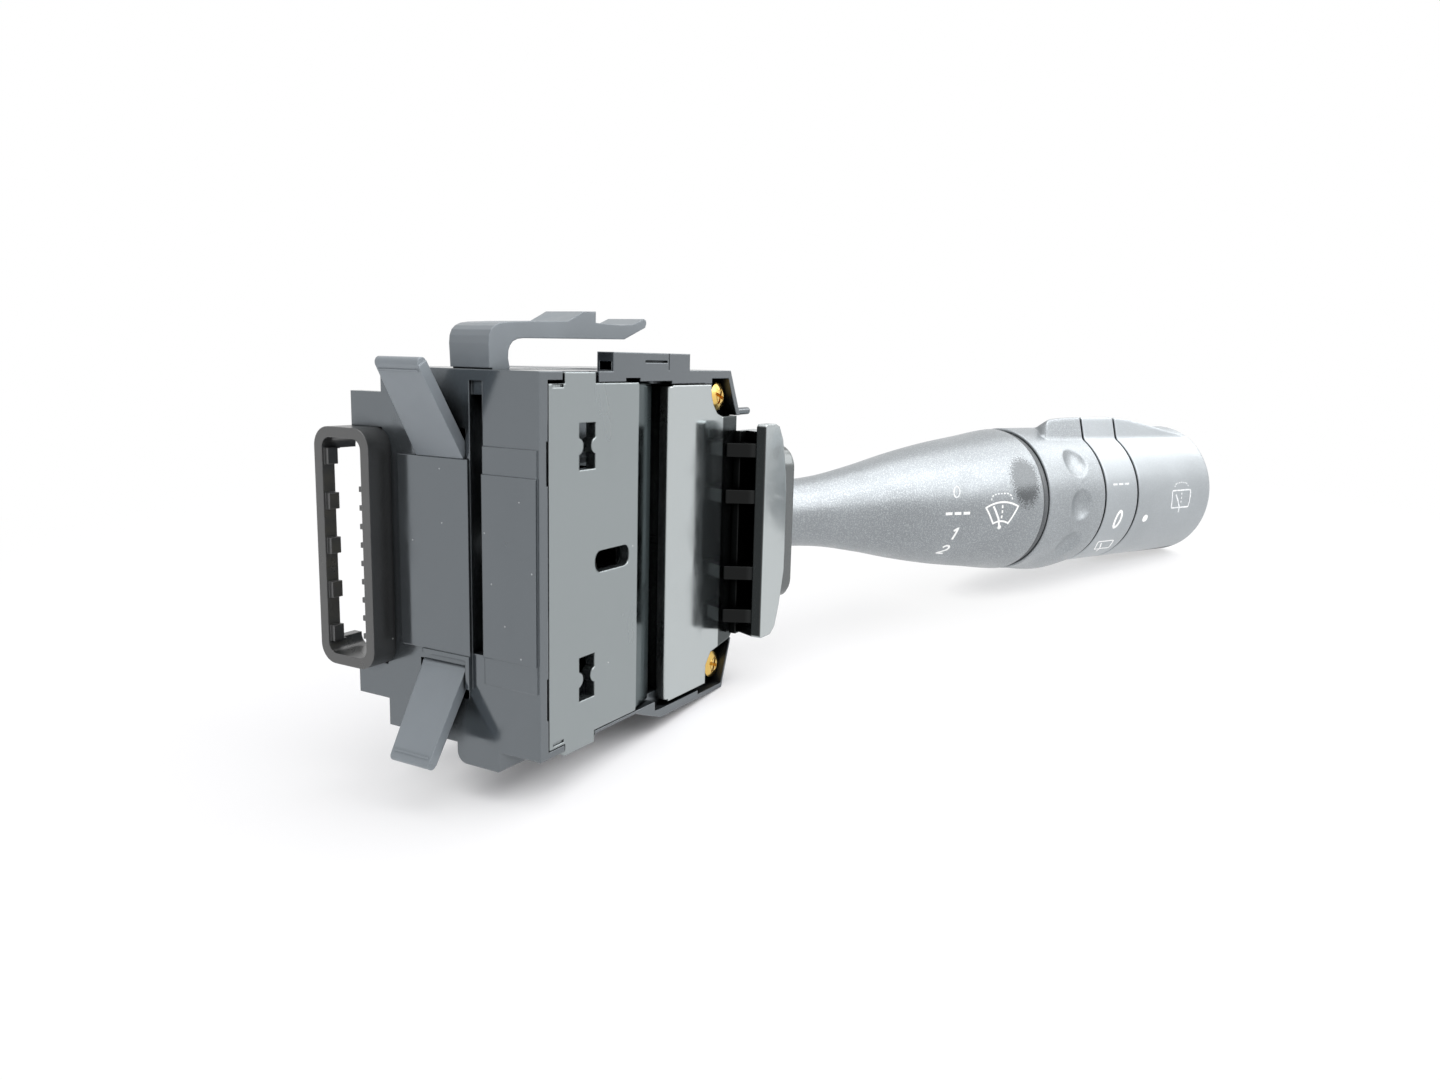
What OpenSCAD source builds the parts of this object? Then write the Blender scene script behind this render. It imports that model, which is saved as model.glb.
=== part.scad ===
// Wiper stalk switch module for a steering column.
// Frame: +X from the rear seat face towards the lever, -Y towards the driver, +Z up.
// The origin is the centre of the rear seat face. All sizes are in millimetres.

/* [Housing] */
// length of the housing from the rear seat face to the lever mouth
body_l = 62.8; // [60:0.2:68]
// depth of the housing from the side panels to the back wall
body_d = 33.6; // [33:0.2:38]
// height of the housing at its rear section
body_h = 62; // [60:0.5:68]
// wall thickness of the moulded housing
wall = 2; // [1.6:0.1:2.4]
// thickness of the rear wall that carries the tongues
rear_wall = 3.8; // [3.6:0.1:4.6]
// how far the rear flange reaches past the back wall
flange_out = 7.2; // [6:0.2:8]
// drop of the end section below the rear section
end_drop = 2.5; // [1:0.1:3]

/* [Covers] */
// length of the side cover with its bevelled edge
side_cover_l = 31.4; // [30.6:0.1:31.6]
// width of the bevelled edge strip of the side cover
bevel_w = 6.8; // [5:0.1:7]
// width of the dark groove between the two covers
groove_w = 3.5; // [3:0.1:3.7]
// thickness of the end cover plate
cover_t = 2.3; // [1.8:0.1:2.4]
// diameter of the cover screw heads
screw_head_d = 5.4; // [4.8:0.1:5.8]

/* [Latch and tongues] */
// length of the release latch arm
latch_l = 44; // [40:0.5:48]
// width of the release latch
latch_w = 8.2; // [7:0.1:9]
// clear height under the latch arm
latch_gap = 5; // [4.6:0.1:6]
// length of the upper tongue from its root
tongue_l = 17.2; // [14:0.2:19]
// thickness of the tongues
tongue_t = 1.9; // [1.5:0.1:2.1]
// splay angle of the tongues from the rear face
tongue_splay = 31; // [29:1:34]

/* [Connector frame] */
// how far the connector frame stands out of the rear wall
shroud_out = 4.9; // [4.9:0.1:7]
// outside width of the connector frame
shroud_w = 12.8; // [12:0.1:14]
// outside height of the connector frame
shroud_h = 41; // [38:0.5:43]
// number of guide ribs on the near wall of the frame
rib_count = 9; // [7:1:10]

/* [Lever carrier] */
// height of the lip plate as a share of the housing's height
lip_share = 0.7; // [0.65:0.005:0.705]
// width of the lip plate
lip_w = 10.3; // [9.5:0.1:10.8]
// distance of the lip face from the side panels
lip_out = 8; // [7.5:0.1:9]
// thickness of the four webs behind the lip
web_t = 2.7; // [2:0.1:3.2]
// radius of the swing pin
swing_pin_r = 2.5; // [2:0.1:3]
// radius of the pull pin
pull_pin_r = 1.5; // [1.2:0.1:1.8]
// radial running clearance of the pivots
run_gap = 0.05; // [0.03:0.01:0.08]
// angle between two detent positions of the lever
detent_step = 6.5; // [6:0.1:7]

/* [Stalk] */
// angle of the stalk towards the driver
stalk_az = 27.9; // [26:0.1:30]
// length from the lever mouth reference to the tip of the end knob
stalk_l = 155.2; // [150:0.5:165]
// radius of the neck
neck_r = 7.3; // [7:0.1:8]
// radius of the grip at its wide end
grip_r = 17.8; // [17.5:0.1:19]
// radius of the rings and of the end knob
knob_r = 17.2; // [16.8:0.1:17.6]
// height of the thumb ridge over the rings
ridge_h = 3.9; // [3.2:0.1:4.2]
// height of the finger pad under the interval ring
pad_h = 1.8; // [1.2:0.1:2]
// shell thickness of the stalk parts
shell_t = 2.2; // [1.8:0.1:2.6]
// radius of the finger dimples
dimple_r = 6; // [5:0.2:7]

/* [Hidden] */
$fn = 64;
e = 0.01;
seat_y = body_d / 2;
hh = body_h / 2;
top = hh + 0.2;
low = -hh - end_drop;
cover_x = 2.9;
step_x = 31.2;
groove_x = cover_x + side_cover_l;
end_x = groove_x + groove_w;
lip_h = body_h * lip_share;
mouth_hi = lip_h / 2 + 0.1;
mouth_lo = -lip_h / 2 - 0.8;
notch_hi = mouth_hi + 0.6;
notch_lo = mouth_lo - 1.5;
face_x = 0.6;
back_in = body_d - wall;
wall_x = face_x + rear_wall;
flange_y = body_d + flange_out;
slot_lo_y = 11.4;
slot_hi_y = 14.1;
screw_x = body_l - 5.2;
screw_hi = hh - 4.7;
screw_lo = low + 5;
rim = 0.9;
ear_y = 3;
ear_t = 1.4;
latch_y = 9.9;
latch_z = top;
latch_x = 3.4;
knuckle_r = 2;
tongue_y = 15.1;
tongue_w = 10.2;
root_x = face_x + 0.5;
root_hi = 17.2;
root_lo = -18.4;
root_r = 1;
pivot_x = 44;
block_r = 8;
carrier_y0 = 9;
carrier_y1 = body_d - 5.6;
cheek_in = 8;
cheek_out = 12;
pin_y0 = 3.3;
pin_y1 = body_d - 1;
post_y = body_d - 9.6;
tip_r = 12.8;
track_r = tip_r + 0.3;
stalk_x = 66;
stalk_y = 10;
pull_s = -8;
grip_s = 86.8;
collar_s = 89.2;
mark_s0 = 110.6;
mark_s1 = 122.9;
knob_s0 = mark_s1 + 0.6;
knob_s1 = stalk_l - 0.2;
neck_s = 15.2;
shield_s = 18.8;
shield_w = 19.6;
shield_h = 33;
spring_x = pivot_x - 3.5;
core_r = 6;
core_in = 4;
slope = [0, 0.075, 0.27, 0.51, 0.71, 0.86, 1];

// places a body that is drawn from the panel plane and the mid height
module place() {
    translate([0, -seat_y, 0]) children();
}

// cuboid from low corner to high corner
module block(a, b) {
    translate(a) cube([b[0] - a[0], b[1] - a[1], b[2] - a[2]]);
}

// profile drawn in X and Z, thickened along Y from y0 to y1
module along_y(y0, y1) {
    translate([0, y1, 0]) rotate([90, 0, 0]) linear_extrude(y1 - y0) children();
}

// profile drawn in X and Y, thickened along Z from z0 to z1
module along_z(z0, z1) {
    translate([0, 0, z0]) linear_extrude(z1 - z0) children();
}

// round bar along Y
module bar_y(x, z, r, y0, y1) {
    translate([x, y0, z]) rotate([-90, 0, 0]) cylinder(r = r, h = y1 - y0);
}

// flat rectangle with round corners, centred
module round_rect(w, h, r) {
    square([w - 2 * r, h], center = true);
    square([w, h - 2 * r], center = true);
    for (x = [-1, 1], y = [-1, 1]) translate([x * (w / 2 - r), y * (h / 2 - r)]) circle(r);
}

// frame of the stalk: X along the stalk axis, Y away from the driver, Z up
module stalk() {
    translate([stalk_x, stalk_y, 0]) rotate([0, 0, -stalk_az]) children();
}

// body of revolution about the stalk axis, profile given as [station, radius]
module turned(pts) {
    rotate([0, 90, 0]) rotate_extrude() polygon([for (p = pts) [p[1], p[0]]]);
}

// housing

module side_outline() {
    polygon([[face_x, -hh], [15, -hh], [15.4, -hh + 0.6], [step_x - 3.2, -hh + 0.6], [step_x - 0.8, -hh - 0.2 * end_drop],
        [step_x + 5, low], [body_l - 3.6, low],
        [body_l - 0.2, mouth_lo - 1.5], [body_l - 0.2, notch_hi - 0.2], [body_l + 1.4, notch_hi],
        [body_l - 2.9, top + 0.2], [step_x, top + 0.2], [step_x - 1, top], [face_x, top]]);
}

module cavity_outline() {
    polygon([[wall_x, -hh + wall], [body_l - 12.8, -hh + wall], [body_l - 12.8, mouth_lo],
        [body_l + 9, mouth_lo], [body_l + 9, mouth_hi], [body_l - 12.8, mouth_hi],
        [body_l - 12.8, hh - wall], [wall_x, hh - wall]]);
}

// recess round each cover screw, open towards the driver
module screw_recess(grow) {
    polygon([[body_l - 13.2 - grow, mouth_hi - e - grow], [body_l - 0.2, mouth_hi - e - grow],
        [body_l + grow, notch_hi + grow], [body_l - 3.6 + grow, top - rim - 0.4 + grow],
        [body_l - 10.2 - grow, top - rim - 0.4 + grow], [body_l - 10.2 - grow, hh - 2.1 + grow],
        [body_l - 13.2 - grow, hh - 2.1 + grow]]);
    polygon([[body_l - 13.2 - grow, mouth_lo + e + grow], [body_l - 13.2 - grow, low + rim - grow],
        [body_l - 3.8 + grow, low + rim - grow], [body_l - 0.7 + grow, mouth_lo - 2],
        [body_l - 0.7, mouth_lo + e + grow]]);
}

module rear_relief() {
    // seat plate, driver side pad and its lower step
    block([0, slot_hi_y + 0.1, -15.5], [face_x + e, body_d - 4, 16.9]);
    block([0, 0.4, -15.1], [face_x + e, slot_lo_y - 0.1, 14.8]);
    block([face_x / 2, 0.4, 14.8 - e], [face_x + e, slot_lo_y - 0.1, 19.2]);
    block([face_x / 2, 0.4, -19.7], [face_x + e, slot_lo_y - 0.1, -15.1]);
    // hook shaped bead under the seat plate
    block([-0.3, slot_hi_y + 0.1, -16.3], [face_x, 24.5, -15.5]);
    block([-0.3, slot_hi_y + 0.1, -21.1], [face_x, slot_hi_y + 0.9, -15.5]);
}

module tongue_seat(z, up) {
    // pocket behind the root of a tongue and the round seat of its knuckle
    z0 = up > 0 ? z - 0.3 : z - 4.6;
    block([-1, slot_hi_y + 0.9, z0], [face_x + 1.8, tongue_y + tongue_w + 0.5, z0 + 4.9]);
    bar_y(root_x, z, root_r + run_gap, slot_hi_y + 0.9, tongue_y + tongue_w + 0.5);
}

module housing() {
    color("#26282a") place() difference() {
        union() {
            along_y(0, body_d) side_outline();
            // rear flange
            block([face_x, body_d - e, -hh + 4.8], [face_x + 2.4, flange_y, hh - 4.1]);
            rear_relief();
            // foot rail under the rear section, with a rounded outer edge
            translate([face_x, 0, 0]) rotate([90, 0, 90]) linear_extrude(25) {
                polygon([[8.8, -hh + 0.7], [8.8, -hh - 3.5], [15.8, -hh - 3.5], [17.8, -hh - 1.5], [17.8, -hh + 0.7]]);
                translate([15.8, -hh - 1.5]) circle(2);
            }
            // guide rail on the top edge
            difference() {
                block([20, 0, top - e], [44.3, 3.4, top + 3.2]);
                block([29.4, -1, top + 1.5], [36.6, 0.5, top + 1.9]);
                block([37, -1, top - 1], [37.25, 0.3, top + 4]);
                // hollow in the rear end, closed by a slanted gusset
                translate([19, 0.5, top]) rotate([90, 0, 0]) mirror([0, 0, 1]) linear_extrude(2.4)
                    polygon([[0, 0.2], [3, 0.2], [3, 2.6], [0, 1.2]]);
            }
            // stiffening ribs on the back wall
            for (z = [-20, -7, 7, 20]) block([14, body_d - e, z - 0.8], [body_l - 6, body_d + 1, z + 0.8]);
            // spring peg beside the mouth
            translate([body_l - 1.5, 1.05, notch_hi + 0.8]) rotate([0, 90, 0]) cylinder(r = 0.75, h = 7.7);
        }
        difference() {
            along_y(-1, back_in) cavity_outline();
            // solid corner that holds the latch seat
            block([0, latch_y - 1.2, top - 6], [latch_x + 4, latch_y + latch_w + 1.2, top + 1]);
            // bridge behind the groove between the covers
            block([groove_x - 3, 5.5, -hh], [end_x + 1, 7.3, hh]);
            // post of the detent track
            block([24, post_y, -8], [29, body_d, 11]);
            // boss of the swing pin
            bar_y(pivot_x, 0, 5, carrier_y1 + 0.3, body_d);
        }
        // seats of the covers
        block([cover_x - 0.25, -1, -hh + 1.1], [groove_x + 4, cover_t - 0.25, hh - 1.5]);
        block([cover_x - 0.25, -1, hh - 3], [7, cover_t - 0.25, hh - 1.1]);
        block([6.8, -1, -hh - 2], [15.2, cover_t - 0.25, 0]);
        block([6.3, -1, 0], [15.9, cover_t - 0.25, hh + 2]);
        block([23.6, -1, hh - 3], [28, cover_t - 0.25, hh - 0.9]);
        // black joint under the end cover
        block([end_x + 1, -1, low + 1.7], [body_l - 11, 6, low + 2.6]);
        along_y(-1, cover_t + e) polygon([[groove_x - 0.3, low + 1.9], [groove_x + 1.5, low + 1.7], [body_l - 12.4, low + 1.7],
            [body_l - 12.4, notch_lo + 0.3], [body_l + 2, notch_lo + 0.3], [body_l + 2, notch_hi + 0.1],
            [body_l - 12.4, notch_hi + 0.1], [body_l - 12.4, hh - 2.1], [groove_x - 0.3, hh - 2.1]]);
        along_y(-1, ear_y + ear_t) screw_recess(0);
        // long narrow hook slots in the driver side rim
        for (z = [-21, 17]) block([cover_x - 0.6, -1, z - 3.5], [cover_x - 0.2, 1.8, z + 3.5]);
        // guide slot through the rear wall
        block([-1, slot_lo_y, -15], [wall_x + 1, slot_hi_y, top - 4]);
        block([-1, slot_lo_y, -15], [face_x + 0.6, slot_hi_y, top - 1.8]);
        tongue_seat(root_hi, 1);
        tongue_seat(root_lo, -1);
        bar_y(latch_x, latch_z, knuckle_r + run_gap, latch_y - 0.15, latch_y + latch_w + 0.15);
        // window of the connector frame in the flange
        block([-1, body_d, -shroud_h / 2 + 0.5], [face_x + 3, flange_y + 1, shroud_h / 2 + 0.5]);
        // bore of the swing pin and pilot holes of the cover screws
        bar_y(pivot_x, 0, swing_pin_r, 20, pin_y1);
        for (z = [screw_hi, screw_lo]) bar_y(screw_x, z, 1.3, 2, 15);
        // slits for the terminal blades
        for (i = [0 : rib_count - 1]) block([6, body_d - 3, terminal_z(i) - 0.32], [9, body_d + 2, terminal_z(i) + 0.32]);
    }
}

module side_cover() {
    x1 = cover_x + side_cover_l;
    color("#2b2e30") place() difference() {
        union() {
            block([cover_x, 0, -hh + 1.3], [x1 - bevel_w, cover_t - 0.3, hh - 1.7]);
            block([7, 0, -hh - 0.8], [15, cover_t - 0.3, hh + 0.1]);
            // bevelled strip that drops towards the groove and ends in a deep lip
            along_z(-hh + 2.3, hh - 2.3) polygon([[x1 - bevel_w - e, 0], [x1 - 0.4, 1.65], [x1 - 0.1, 1.8], [x1, 2.1],
                [x1, 5], [x1 - 1.6, 5], [x1 - 1.6, 3.4], [x1 - bevel_w, 2], [x1 - bevel_w - e, 2]]);
            along_z(-hh + 1.7, hh - 1.9) polygon([[x1 - bevel_w - e, 0], [x1 - 0.6, 1.6], [x1 - 0.6, 2], [x1 - bevel_w - e, 2]]);
        }
        for (z = [-19.75, 19.2]) translate([cover_x + 10, 0, z]) along_y(-1, 9) difference() {
            square([4.4, 7.6], center = true);
            for (x = [-1, 1]) translate([2.45 * x, 0]) circle(1.35);
        }
        translate([cover_x + 17.2, 0, -0.4]) along_y(-1, 9) round_rect(10, 3.7, 1.6);
        // shallow step round the tabs
        for (s = [-1, 1]) block([cover_x + 0.9, -1, s * (hh - 2) - 0.25], [6.6, 0.3, s * (hh - 2) + 0.25]);
    }
}

module end_outline() {
    polygon([[end_x + 2, low + 2.5], [body_l - 10.4, low + 2.5], [body_l - 10.3, notch_lo - 3.2],
        [body_l - 8.4, notch_lo - 0.9], [body_l - 0.8, notch_lo + 0.4], [body_l, notch_lo + 1.2],
        [body_l, notch_hi], [body_l - 5.8, notch_hi], [body_l - 7.9, notch_hi + 0.7], [body_l - 9.4, notch_hi + 2.4],
        [body_l - 10.2, notch_hi + 4.2], [body_l - 10.3, hh - 2.3], [end_x + 2, hh - 2.3]]);
}

module end_cover() {
    color("#2f3234") place() difference() {
        union() {
            along_y(0, cover_t) end_outline();
            // left flank towards the groove, with a deep lip inside the cavity
            along_z(low + 2.9, hh - 2.5) polygon([[end_x, cover_t], [end_x, 0.6], [end_x + 0.2, 0.2], [end_x + 0.6, 0],
                [end_x + 3, 0], [end_x + 3, cover_t]]);
            along_z(low + 2.5, hh - 2.3) polygon([[end_x + 0.8, cover_t], [end_x + 0.8, 0], [end_x + 3, 0], [end_x + 3, cover_t]]);
            along_z(-hh + 2.3, hh - 2.3) translate([end_x + 0.7, cover_t - e]) square([1.5, 2.9]);
            // ears under the screw heads
            intersection() {
                along_y(ear_y, ear_y + ear_t) screw_recess(-0.08);
                block([0, 0, low - 9], [body_l + 9, 9, hh + 9]);
            }
            for (z = [notch_hi + 0.1, low + 3.2])
                block([body_l - 13, cover_t - e, z], [body_l - 11.6, ear_y + e, z + 4.5]);
            // boss that carries the swing pin
            bar_y(pivot_x, 0, 4.8, cover_t - e, carrier_y0 - 0.3);
            // stiffening webs round the boss
            for (a = [0, 90]) translate([pivot_x, cover_t, 0]) rotate([0, a, 0])
                translate([-5.6, -e, -0.6]) cube([13.6, 2.9, 1.2]);
        }
        bar_y(pivot_x, 0, swing_pin_r, pin_y0, carrier_y0 + 1);
        for (z = [screw_hi, screw_lo]) bar_y(screw_x, z, 1.5, -1, 9);
    }
}

module cover_screw() {
    // pan head with a cross recess, the shank points along +Y
    rotate([-90, 0, 0]) difference() {
        union() {
            translate([0, 0, 0.7]) cylinder(r = screw_head_d / 2, h = 1.4);
            intersection() {
                translate([0, 0, 5.56]) sphere(r = 5.55);
                translate([0, 0, -e]) cylinder(r = screw_head_d / 2, h = 0.72 + e);
            }
            cylinder(r = 1.25, h = 12.5);
        }
        for (a = [0, 90]) rotate([0, 0, a + 20]) translate([-1.55, -0.3, -1]) cube([3.1, 0.6, 2.2]);
    }
}

module cover_screws() {
    color("#c9983a") place()
        for (z = [screw_hi, screw_lo]) translate([screw_x, ear_y - 2.1, z]) cover_screw();
}

// height of each terminal and of its guide rib
function terminal_z(i) = -14.2 + i * 25.1 / (rib_count - 1);

module connector_frame() {
    x0 = face_x - shroud_out;
    y0 = body_d - 1.9;
    color("#1b1c1d") place() difference() {
        union() {
            translate([x0, y0 + shroud_w / 2, 0.5]) rotate([0, 90, 0]) linear_extrude(shroud_out + 2.4)
                difference() {
                    round_rect(shroud_h, shroud_w, 3.4);
                    round_rect(shroud_h - 3.6, shroud_w - 3.6, 1.8);
                }
            // guide ribs on the near wall and coding keys on the far wall
            for (i = [0 : rib_count - 1])
                block([x0 + 0.4, y0 + 1.7, terminal_z(i) - 0.45], [face_x, y0 + 2.8, terminal_z(i) + 0.45]);
            for (i = [-2 : 2])
                block([x0 + 0.5, y0 + shroud_w - 2.7, i * 7.7 - 0.9], [x0 + 3.1, y0 + shroud_w - 1.7, i * 7.7 + 1.9]);
        }
        // the near wall ends on the rear wall, the far wall is shorter
        block([face_x, y0 - 1, -40], [face_x + 9, body_d, 40]);
        block([x0 + 2.6, body_d + 2, -shroud_h / 2 + 4.4], [face_x + 9, flange_y + 9, shroud_h / 2 - 3.4]);
    }
}

module contact_board() {
    color("#37503a") place() difference() {
        block([8, back_in - 1.6, -hh + 5], [body_l - 14, back_in, hh - 5]);
        bar_y(pivot_x, 0, 5.3, 9, body_d);
        block([23.7, 9, -8.3], [29.3, body_d, 11.3]);
        for (i = [0 : rib_count - 1]) block([5, 9, terminal_z(i) - 0.5], [9.5, body_d + 2, terminal_z(i) + 0.5]);
    }
}

module terminal_blades() {
    // flat blades that leave the board through the back wall and turn towards the plug
    color("#b9a15a") place() for (i = [0 : rib_count - 1])
        translate([0, 0, terminal_z(i) - 0.3]) linear_extrude(0.6)
            polygon([[9.5, back_in - 1.6], [9.5, back_in - 2.2], [6.2, back_in - 2.2], [6.2, body_d + 0.3],
                [1.2, body_d + 0.3], [0.8, body_d + 0.6], [1.2, body_d + 0.9], [6.8, body_d + 0.9],
                [6.8, back_in - 1.6]]);
}

module swing_pin() {
    color("#b8bcc0") place() bar_y(pivot_x, 0, swing_pin_r, pin_y0, pin_y1);
}

module detent_track() {
    // concave comb with one notch for every lever position
    color("#d9d6cc") place() difference() {
        block([25.5, 12, -7.5], [pivot_x - 11, post_y, 10.5]);
        bar_y(pivot_x, 0, track_r, 5, 40);
        for (i = [-1 : 3]) rotate_about(i * detent_step)
            bar_y(pivot_x - track_r - 0.2, 0, 0.75, 5, 40);
        block([25, 11, 5], [28.5, 13, 11]);
    }
}

module rotate_about(a) {
    translate([pivot_x, 0, 0]) rotate([0, a, 0]) translate([-pivot_x, 0, 0]) children();
}

// release latch and tongues

module release_latch() {
    z0 = latch_z;
    zu = z0 + latch_gap;
    lx = latch_l;
    color("#303336") place() {
        along_y(latch_y, latch_y + latch_w) polygon([[latch_x - 2.6, z0 + 0.25], [latch_x - 2.8, zu - 1], [latch_x - 2.65, zu + 0.2],
            [latch_x - 2.2, zu + 1.1], [latch_x - 1.4, zu + 1.75], [latch_x - 0.2, zu + 2.2], [latch_x + 1.6, zu + 2.45],
            [10, zu + 2.75], [20.5, zu + 3.2],
            [24.8, zu + 5], [28.4, zu + 5.15], [28.4, zu + 3.2], [36, zu + 3.1], [lx - 3.7, zu + 3.4], [lx - 0.4, zu + 4.5],
            [lx + 0.3, zu + 4.2], [lx + 0.4, zu + 3.6], [lx, zu + 2.9], [lx - 6.8, zu + 0.55], [8.8, zu],
            [7.4, zu - 0.15], [6.3, zu - 0.55], [5.6, zu - 1.2], [5.2, zu - 2], [5.1, z0 + 1.8], [5.5, z0 + 0.25]]);
        bar_y(latch_x, z0, knuckle_r, latch_y, latch_y + latch_w);
    }
}

// a tongue drawn upright from its knuckle, turned out by the splay angle
module tongue(l, w) {
    translate([root_x, tongue_y + tongue_w / 2, 0]) {
        rotate([0, -tongue_splay, 0]) {
            translate([tongue_t / 2, 0, 0]) rotate([0, -90, 0]) linear_extrude(tongue_t)
                polygon([[0, -w / 2], [l, -w / 2 + 0.5], [l, w / 2 - 0.6], [0, w / 2]]);
            translate([0, 0, l]) rotate([90, 0, 0]) cylinder(r = tongue_t / 2, h = w - 1.2, center = true);
            // low stop bead across the free end
            block([-tongue_t / 2 - 0.2, -w / 2 + 0.9, l - 0.9], [0, w / 2 - 1, l - 0.5]);
        }
        rotate([90, 0, 0]) cylinder(r = root_r, h = w, center = true);
    }
}

module upper_tongue() {
    color("#34373a") place() translate([0, 0, root_hi]) tongue(tongue_l, tongue_w);
}

module lower_tongue() {
    color("#34373a") place() translate([0, 0, root_lo]) mirror([0, 0, 1]) tongue(tongue_l - 1.2, tongue_w - 0.6);
}

// lever carrier

// outline of the lip plate seen by the driver
module lip_outline() {
    x0 = 60.3;
    x1 = x0 + lip_w;
    z0 = -lip_h / 2 - 0.6;
    z1 = lip_h / 2 - 0.6;
    polygon([[x0, z0 + 0.6], [x0 + 0.6, z0], [x1 - 5.6, z0], [x1 - 3.6, z0 + 1.4], [x1 - 1.9, z0 + 5.8],
        [x1 - 0.2, z0 + 12.6], [x1, z0 + 20], [x1 - 0.1, z0 + 27], [x1 - 0.6, z0 + 33], [x1 - 2.4, z1 - 3.4],
        [x1 - 4.2, z1 - 0.6], [x1 - 6, z1], [x0 + 0.6, z1], [x0, z1 - 0.6]]);
}

module lever_carrier() {
    yl = -lip_out + 2;
    z0 = -lip_h / 2 - 0.6;
    z1 = lip_h / 2 - 0.6;
    color("#1f2123") place() difference() {
        union() {
            // hub block
            bar_y(pivot_x, 0, block_r, carrier_y0, carrier_y1);
            block([pivot_x, carrier_y0, -cheek_out], [pivot_x + 7, carrier_y1, cheek_out]);
            // snout of the detent plunger
            block([pivot_x - 10.4, 13.5, -3.6], [pivot_x, 22.5, 3.6]);
            // cheeks above and below the lever
            for (s = [-1, 1]) along_z(min(s * cheek_in, s * cheek_out), max(s * cheek_in, s * cheek_out))
                polygon([[pivot_x, carrier_y0], [60.4, carrier_y0], [69.1, 2.8], [69.1, yl], [71.5, yl],
                    [72.3, 2], [72.3, 13], [60, carrier_y1], [pivot_x, carrier_y1]]);
            // far web between the cheeks
            along_z(-cheek_out, cheek_out) polygon([[pivot_x, carrier_y1 - 4], [61.5, carrier_y1 - 4],
                [60, carrier_y1], [pivot_x, carrier_y1]]);
            // near web and back plate of the lip
            block([69.1, yl, -cheek_out], [71.5, -0.4, cheek_out]);
            along_y(yl - e, -0.4) polygon([[69.1, z0 + 4], [71.5, z0 + 9], [71.5, z1 - 7], [69.1, z1 - 2.6]]);
            // lip plate
            along_y(-lip_out, yl) lip_outline();
            // top and bottom walls
            along_z(z1 - 3.4, z1 - 1.6) polygon([[64.6, -0.4], [61.6, yl - e], [67, yl - e], [69.3, -0.4]]);
            along_z(z0, z0 + 1.8) polygon([[63.6, -0.4], [60.9, yl - e], [65, yl - e], [66.5, -0.4]]);
            // closing wall behind the webs
            along_y(-1.9, -0.4) polygon([[61.2, z0], [66.5, z0], [69.3, z0 + 4.2], [69.3, z1 - 2.8],
                [68.4, z1 - 1.6], [61.2, z1 - 1.6]]);
            // four webs
            for (z = [-0.417, -0.2108, 0.1486, 0.3641] * lip_h) along_z(z - web_t / 2, z + web_t / 2)
                polygon([[58.2, -0.4], [61.3, yl - e], [69.4, yl - e], [69.4, -0.4]]);
        }
        bar_y(pivot_x, 0, swing_pin_r + run_gap, -1, 40);
        // bore of the detent plunger
        translate([pivot_x - 11, 18, 0]) rotate([0, 90, 0]) cylinder(r = 2.05, h = spring_x - pivot_x + 11);
        // bores of the pull pin
        translate([stalk_x, stalk_y, 0]) rotate([0, 0, -stalk_az]) translate([pull_s, 0, -20])
            cylinder(r = pull_pin_r, h = 40);
        // room for the swinging lever root
        stalk() translate([pull_s, 0, -cheek_in + e]) cylinder(r = 5.4, h = 2 * cheek_in - 2 * e);
        block([pivot_x + 6, carrier_y1 - 1.2, -5], [pivot_x + 14, carrier_y1 + 1, 5]);
    }
}

module contact_slider() {
    // insulating shoe with three spring fingers that run over the board
    x0 = pivot_x + 6;
    color("#b87333") place() {
        block([x0, carrier_y1 - 1.2, -5], [x0 + 8, carrier_y1 + 0.4, 5]);
        for (z = [-3.6, 0, 3.6]) along_z(z - 0.6, z + 0.6)
            polygon([[x0 + 1, carrier_y1 + 0.3], [x0 + 5, carrier_y1 + 0.3], [x0 + 7.5, carrier_y1 + 1.6],
                [x0 + 6.9, carrier_y1 + 1.7], [x0 + 4.6, carrier_y1 + 0.7], [x0 + 1, carrier_y1 + 0.7]]);
    }
}

// row of spring turns along Z, turned about the axis
module turns(r, wire, pitch, count) {
    rotate_extrude() for (i = [0 : count - 1]) translate([r, wire + i * pitch]) circle(wire, $fn = 24);
}

module detent_spring() {
    // stands on the floor of the bore and reaches into the hollow plunger
    color("#c8ccd0") place() translate([spring_x - 5.2, 18, 0]) rotate([0, 90, 0]) turns(0.95, 0.28, 0.5, 10);
}

module detent_plunger() {
    color("#e2e0d8") place() translate([pivot_x - tip_r + 2, 18, 0]) difference() {
        union() {
            sphere(r = 2);
            rotate([0, 90, 0]) cylinder(r = 2, h = 5);
        }
        translate([0.9, 0, 0]) rotate([0, 90, 0]) cylinder(r = 1.35, h = 6);
    }
}

module pull_pin() {
    color("#b8bcc0") place() stalk() translate([pull_s, 0, -cheek_out]) cylinder(r = pull_pin_r, h = 2 * cheek_out);
}

module return_spring() {
    // coil on the hub of the lever, one leg against the carrier and one along the lever
    color("#c8ccd0") place() stalk() translate([pull_s, 0, 5.5]) {
        turns(3, 0.5, 0.9, 2);
        translate([0, 3, 1.4]) rotate([0, -90, 0]) cylinder(r = 0.45, h = 9.6);
        translate([0, -3, 0.5]) rotate([0, 90, 0]) cylinder(r = 0.45, h = 11);
    }
}

// stalk

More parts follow.
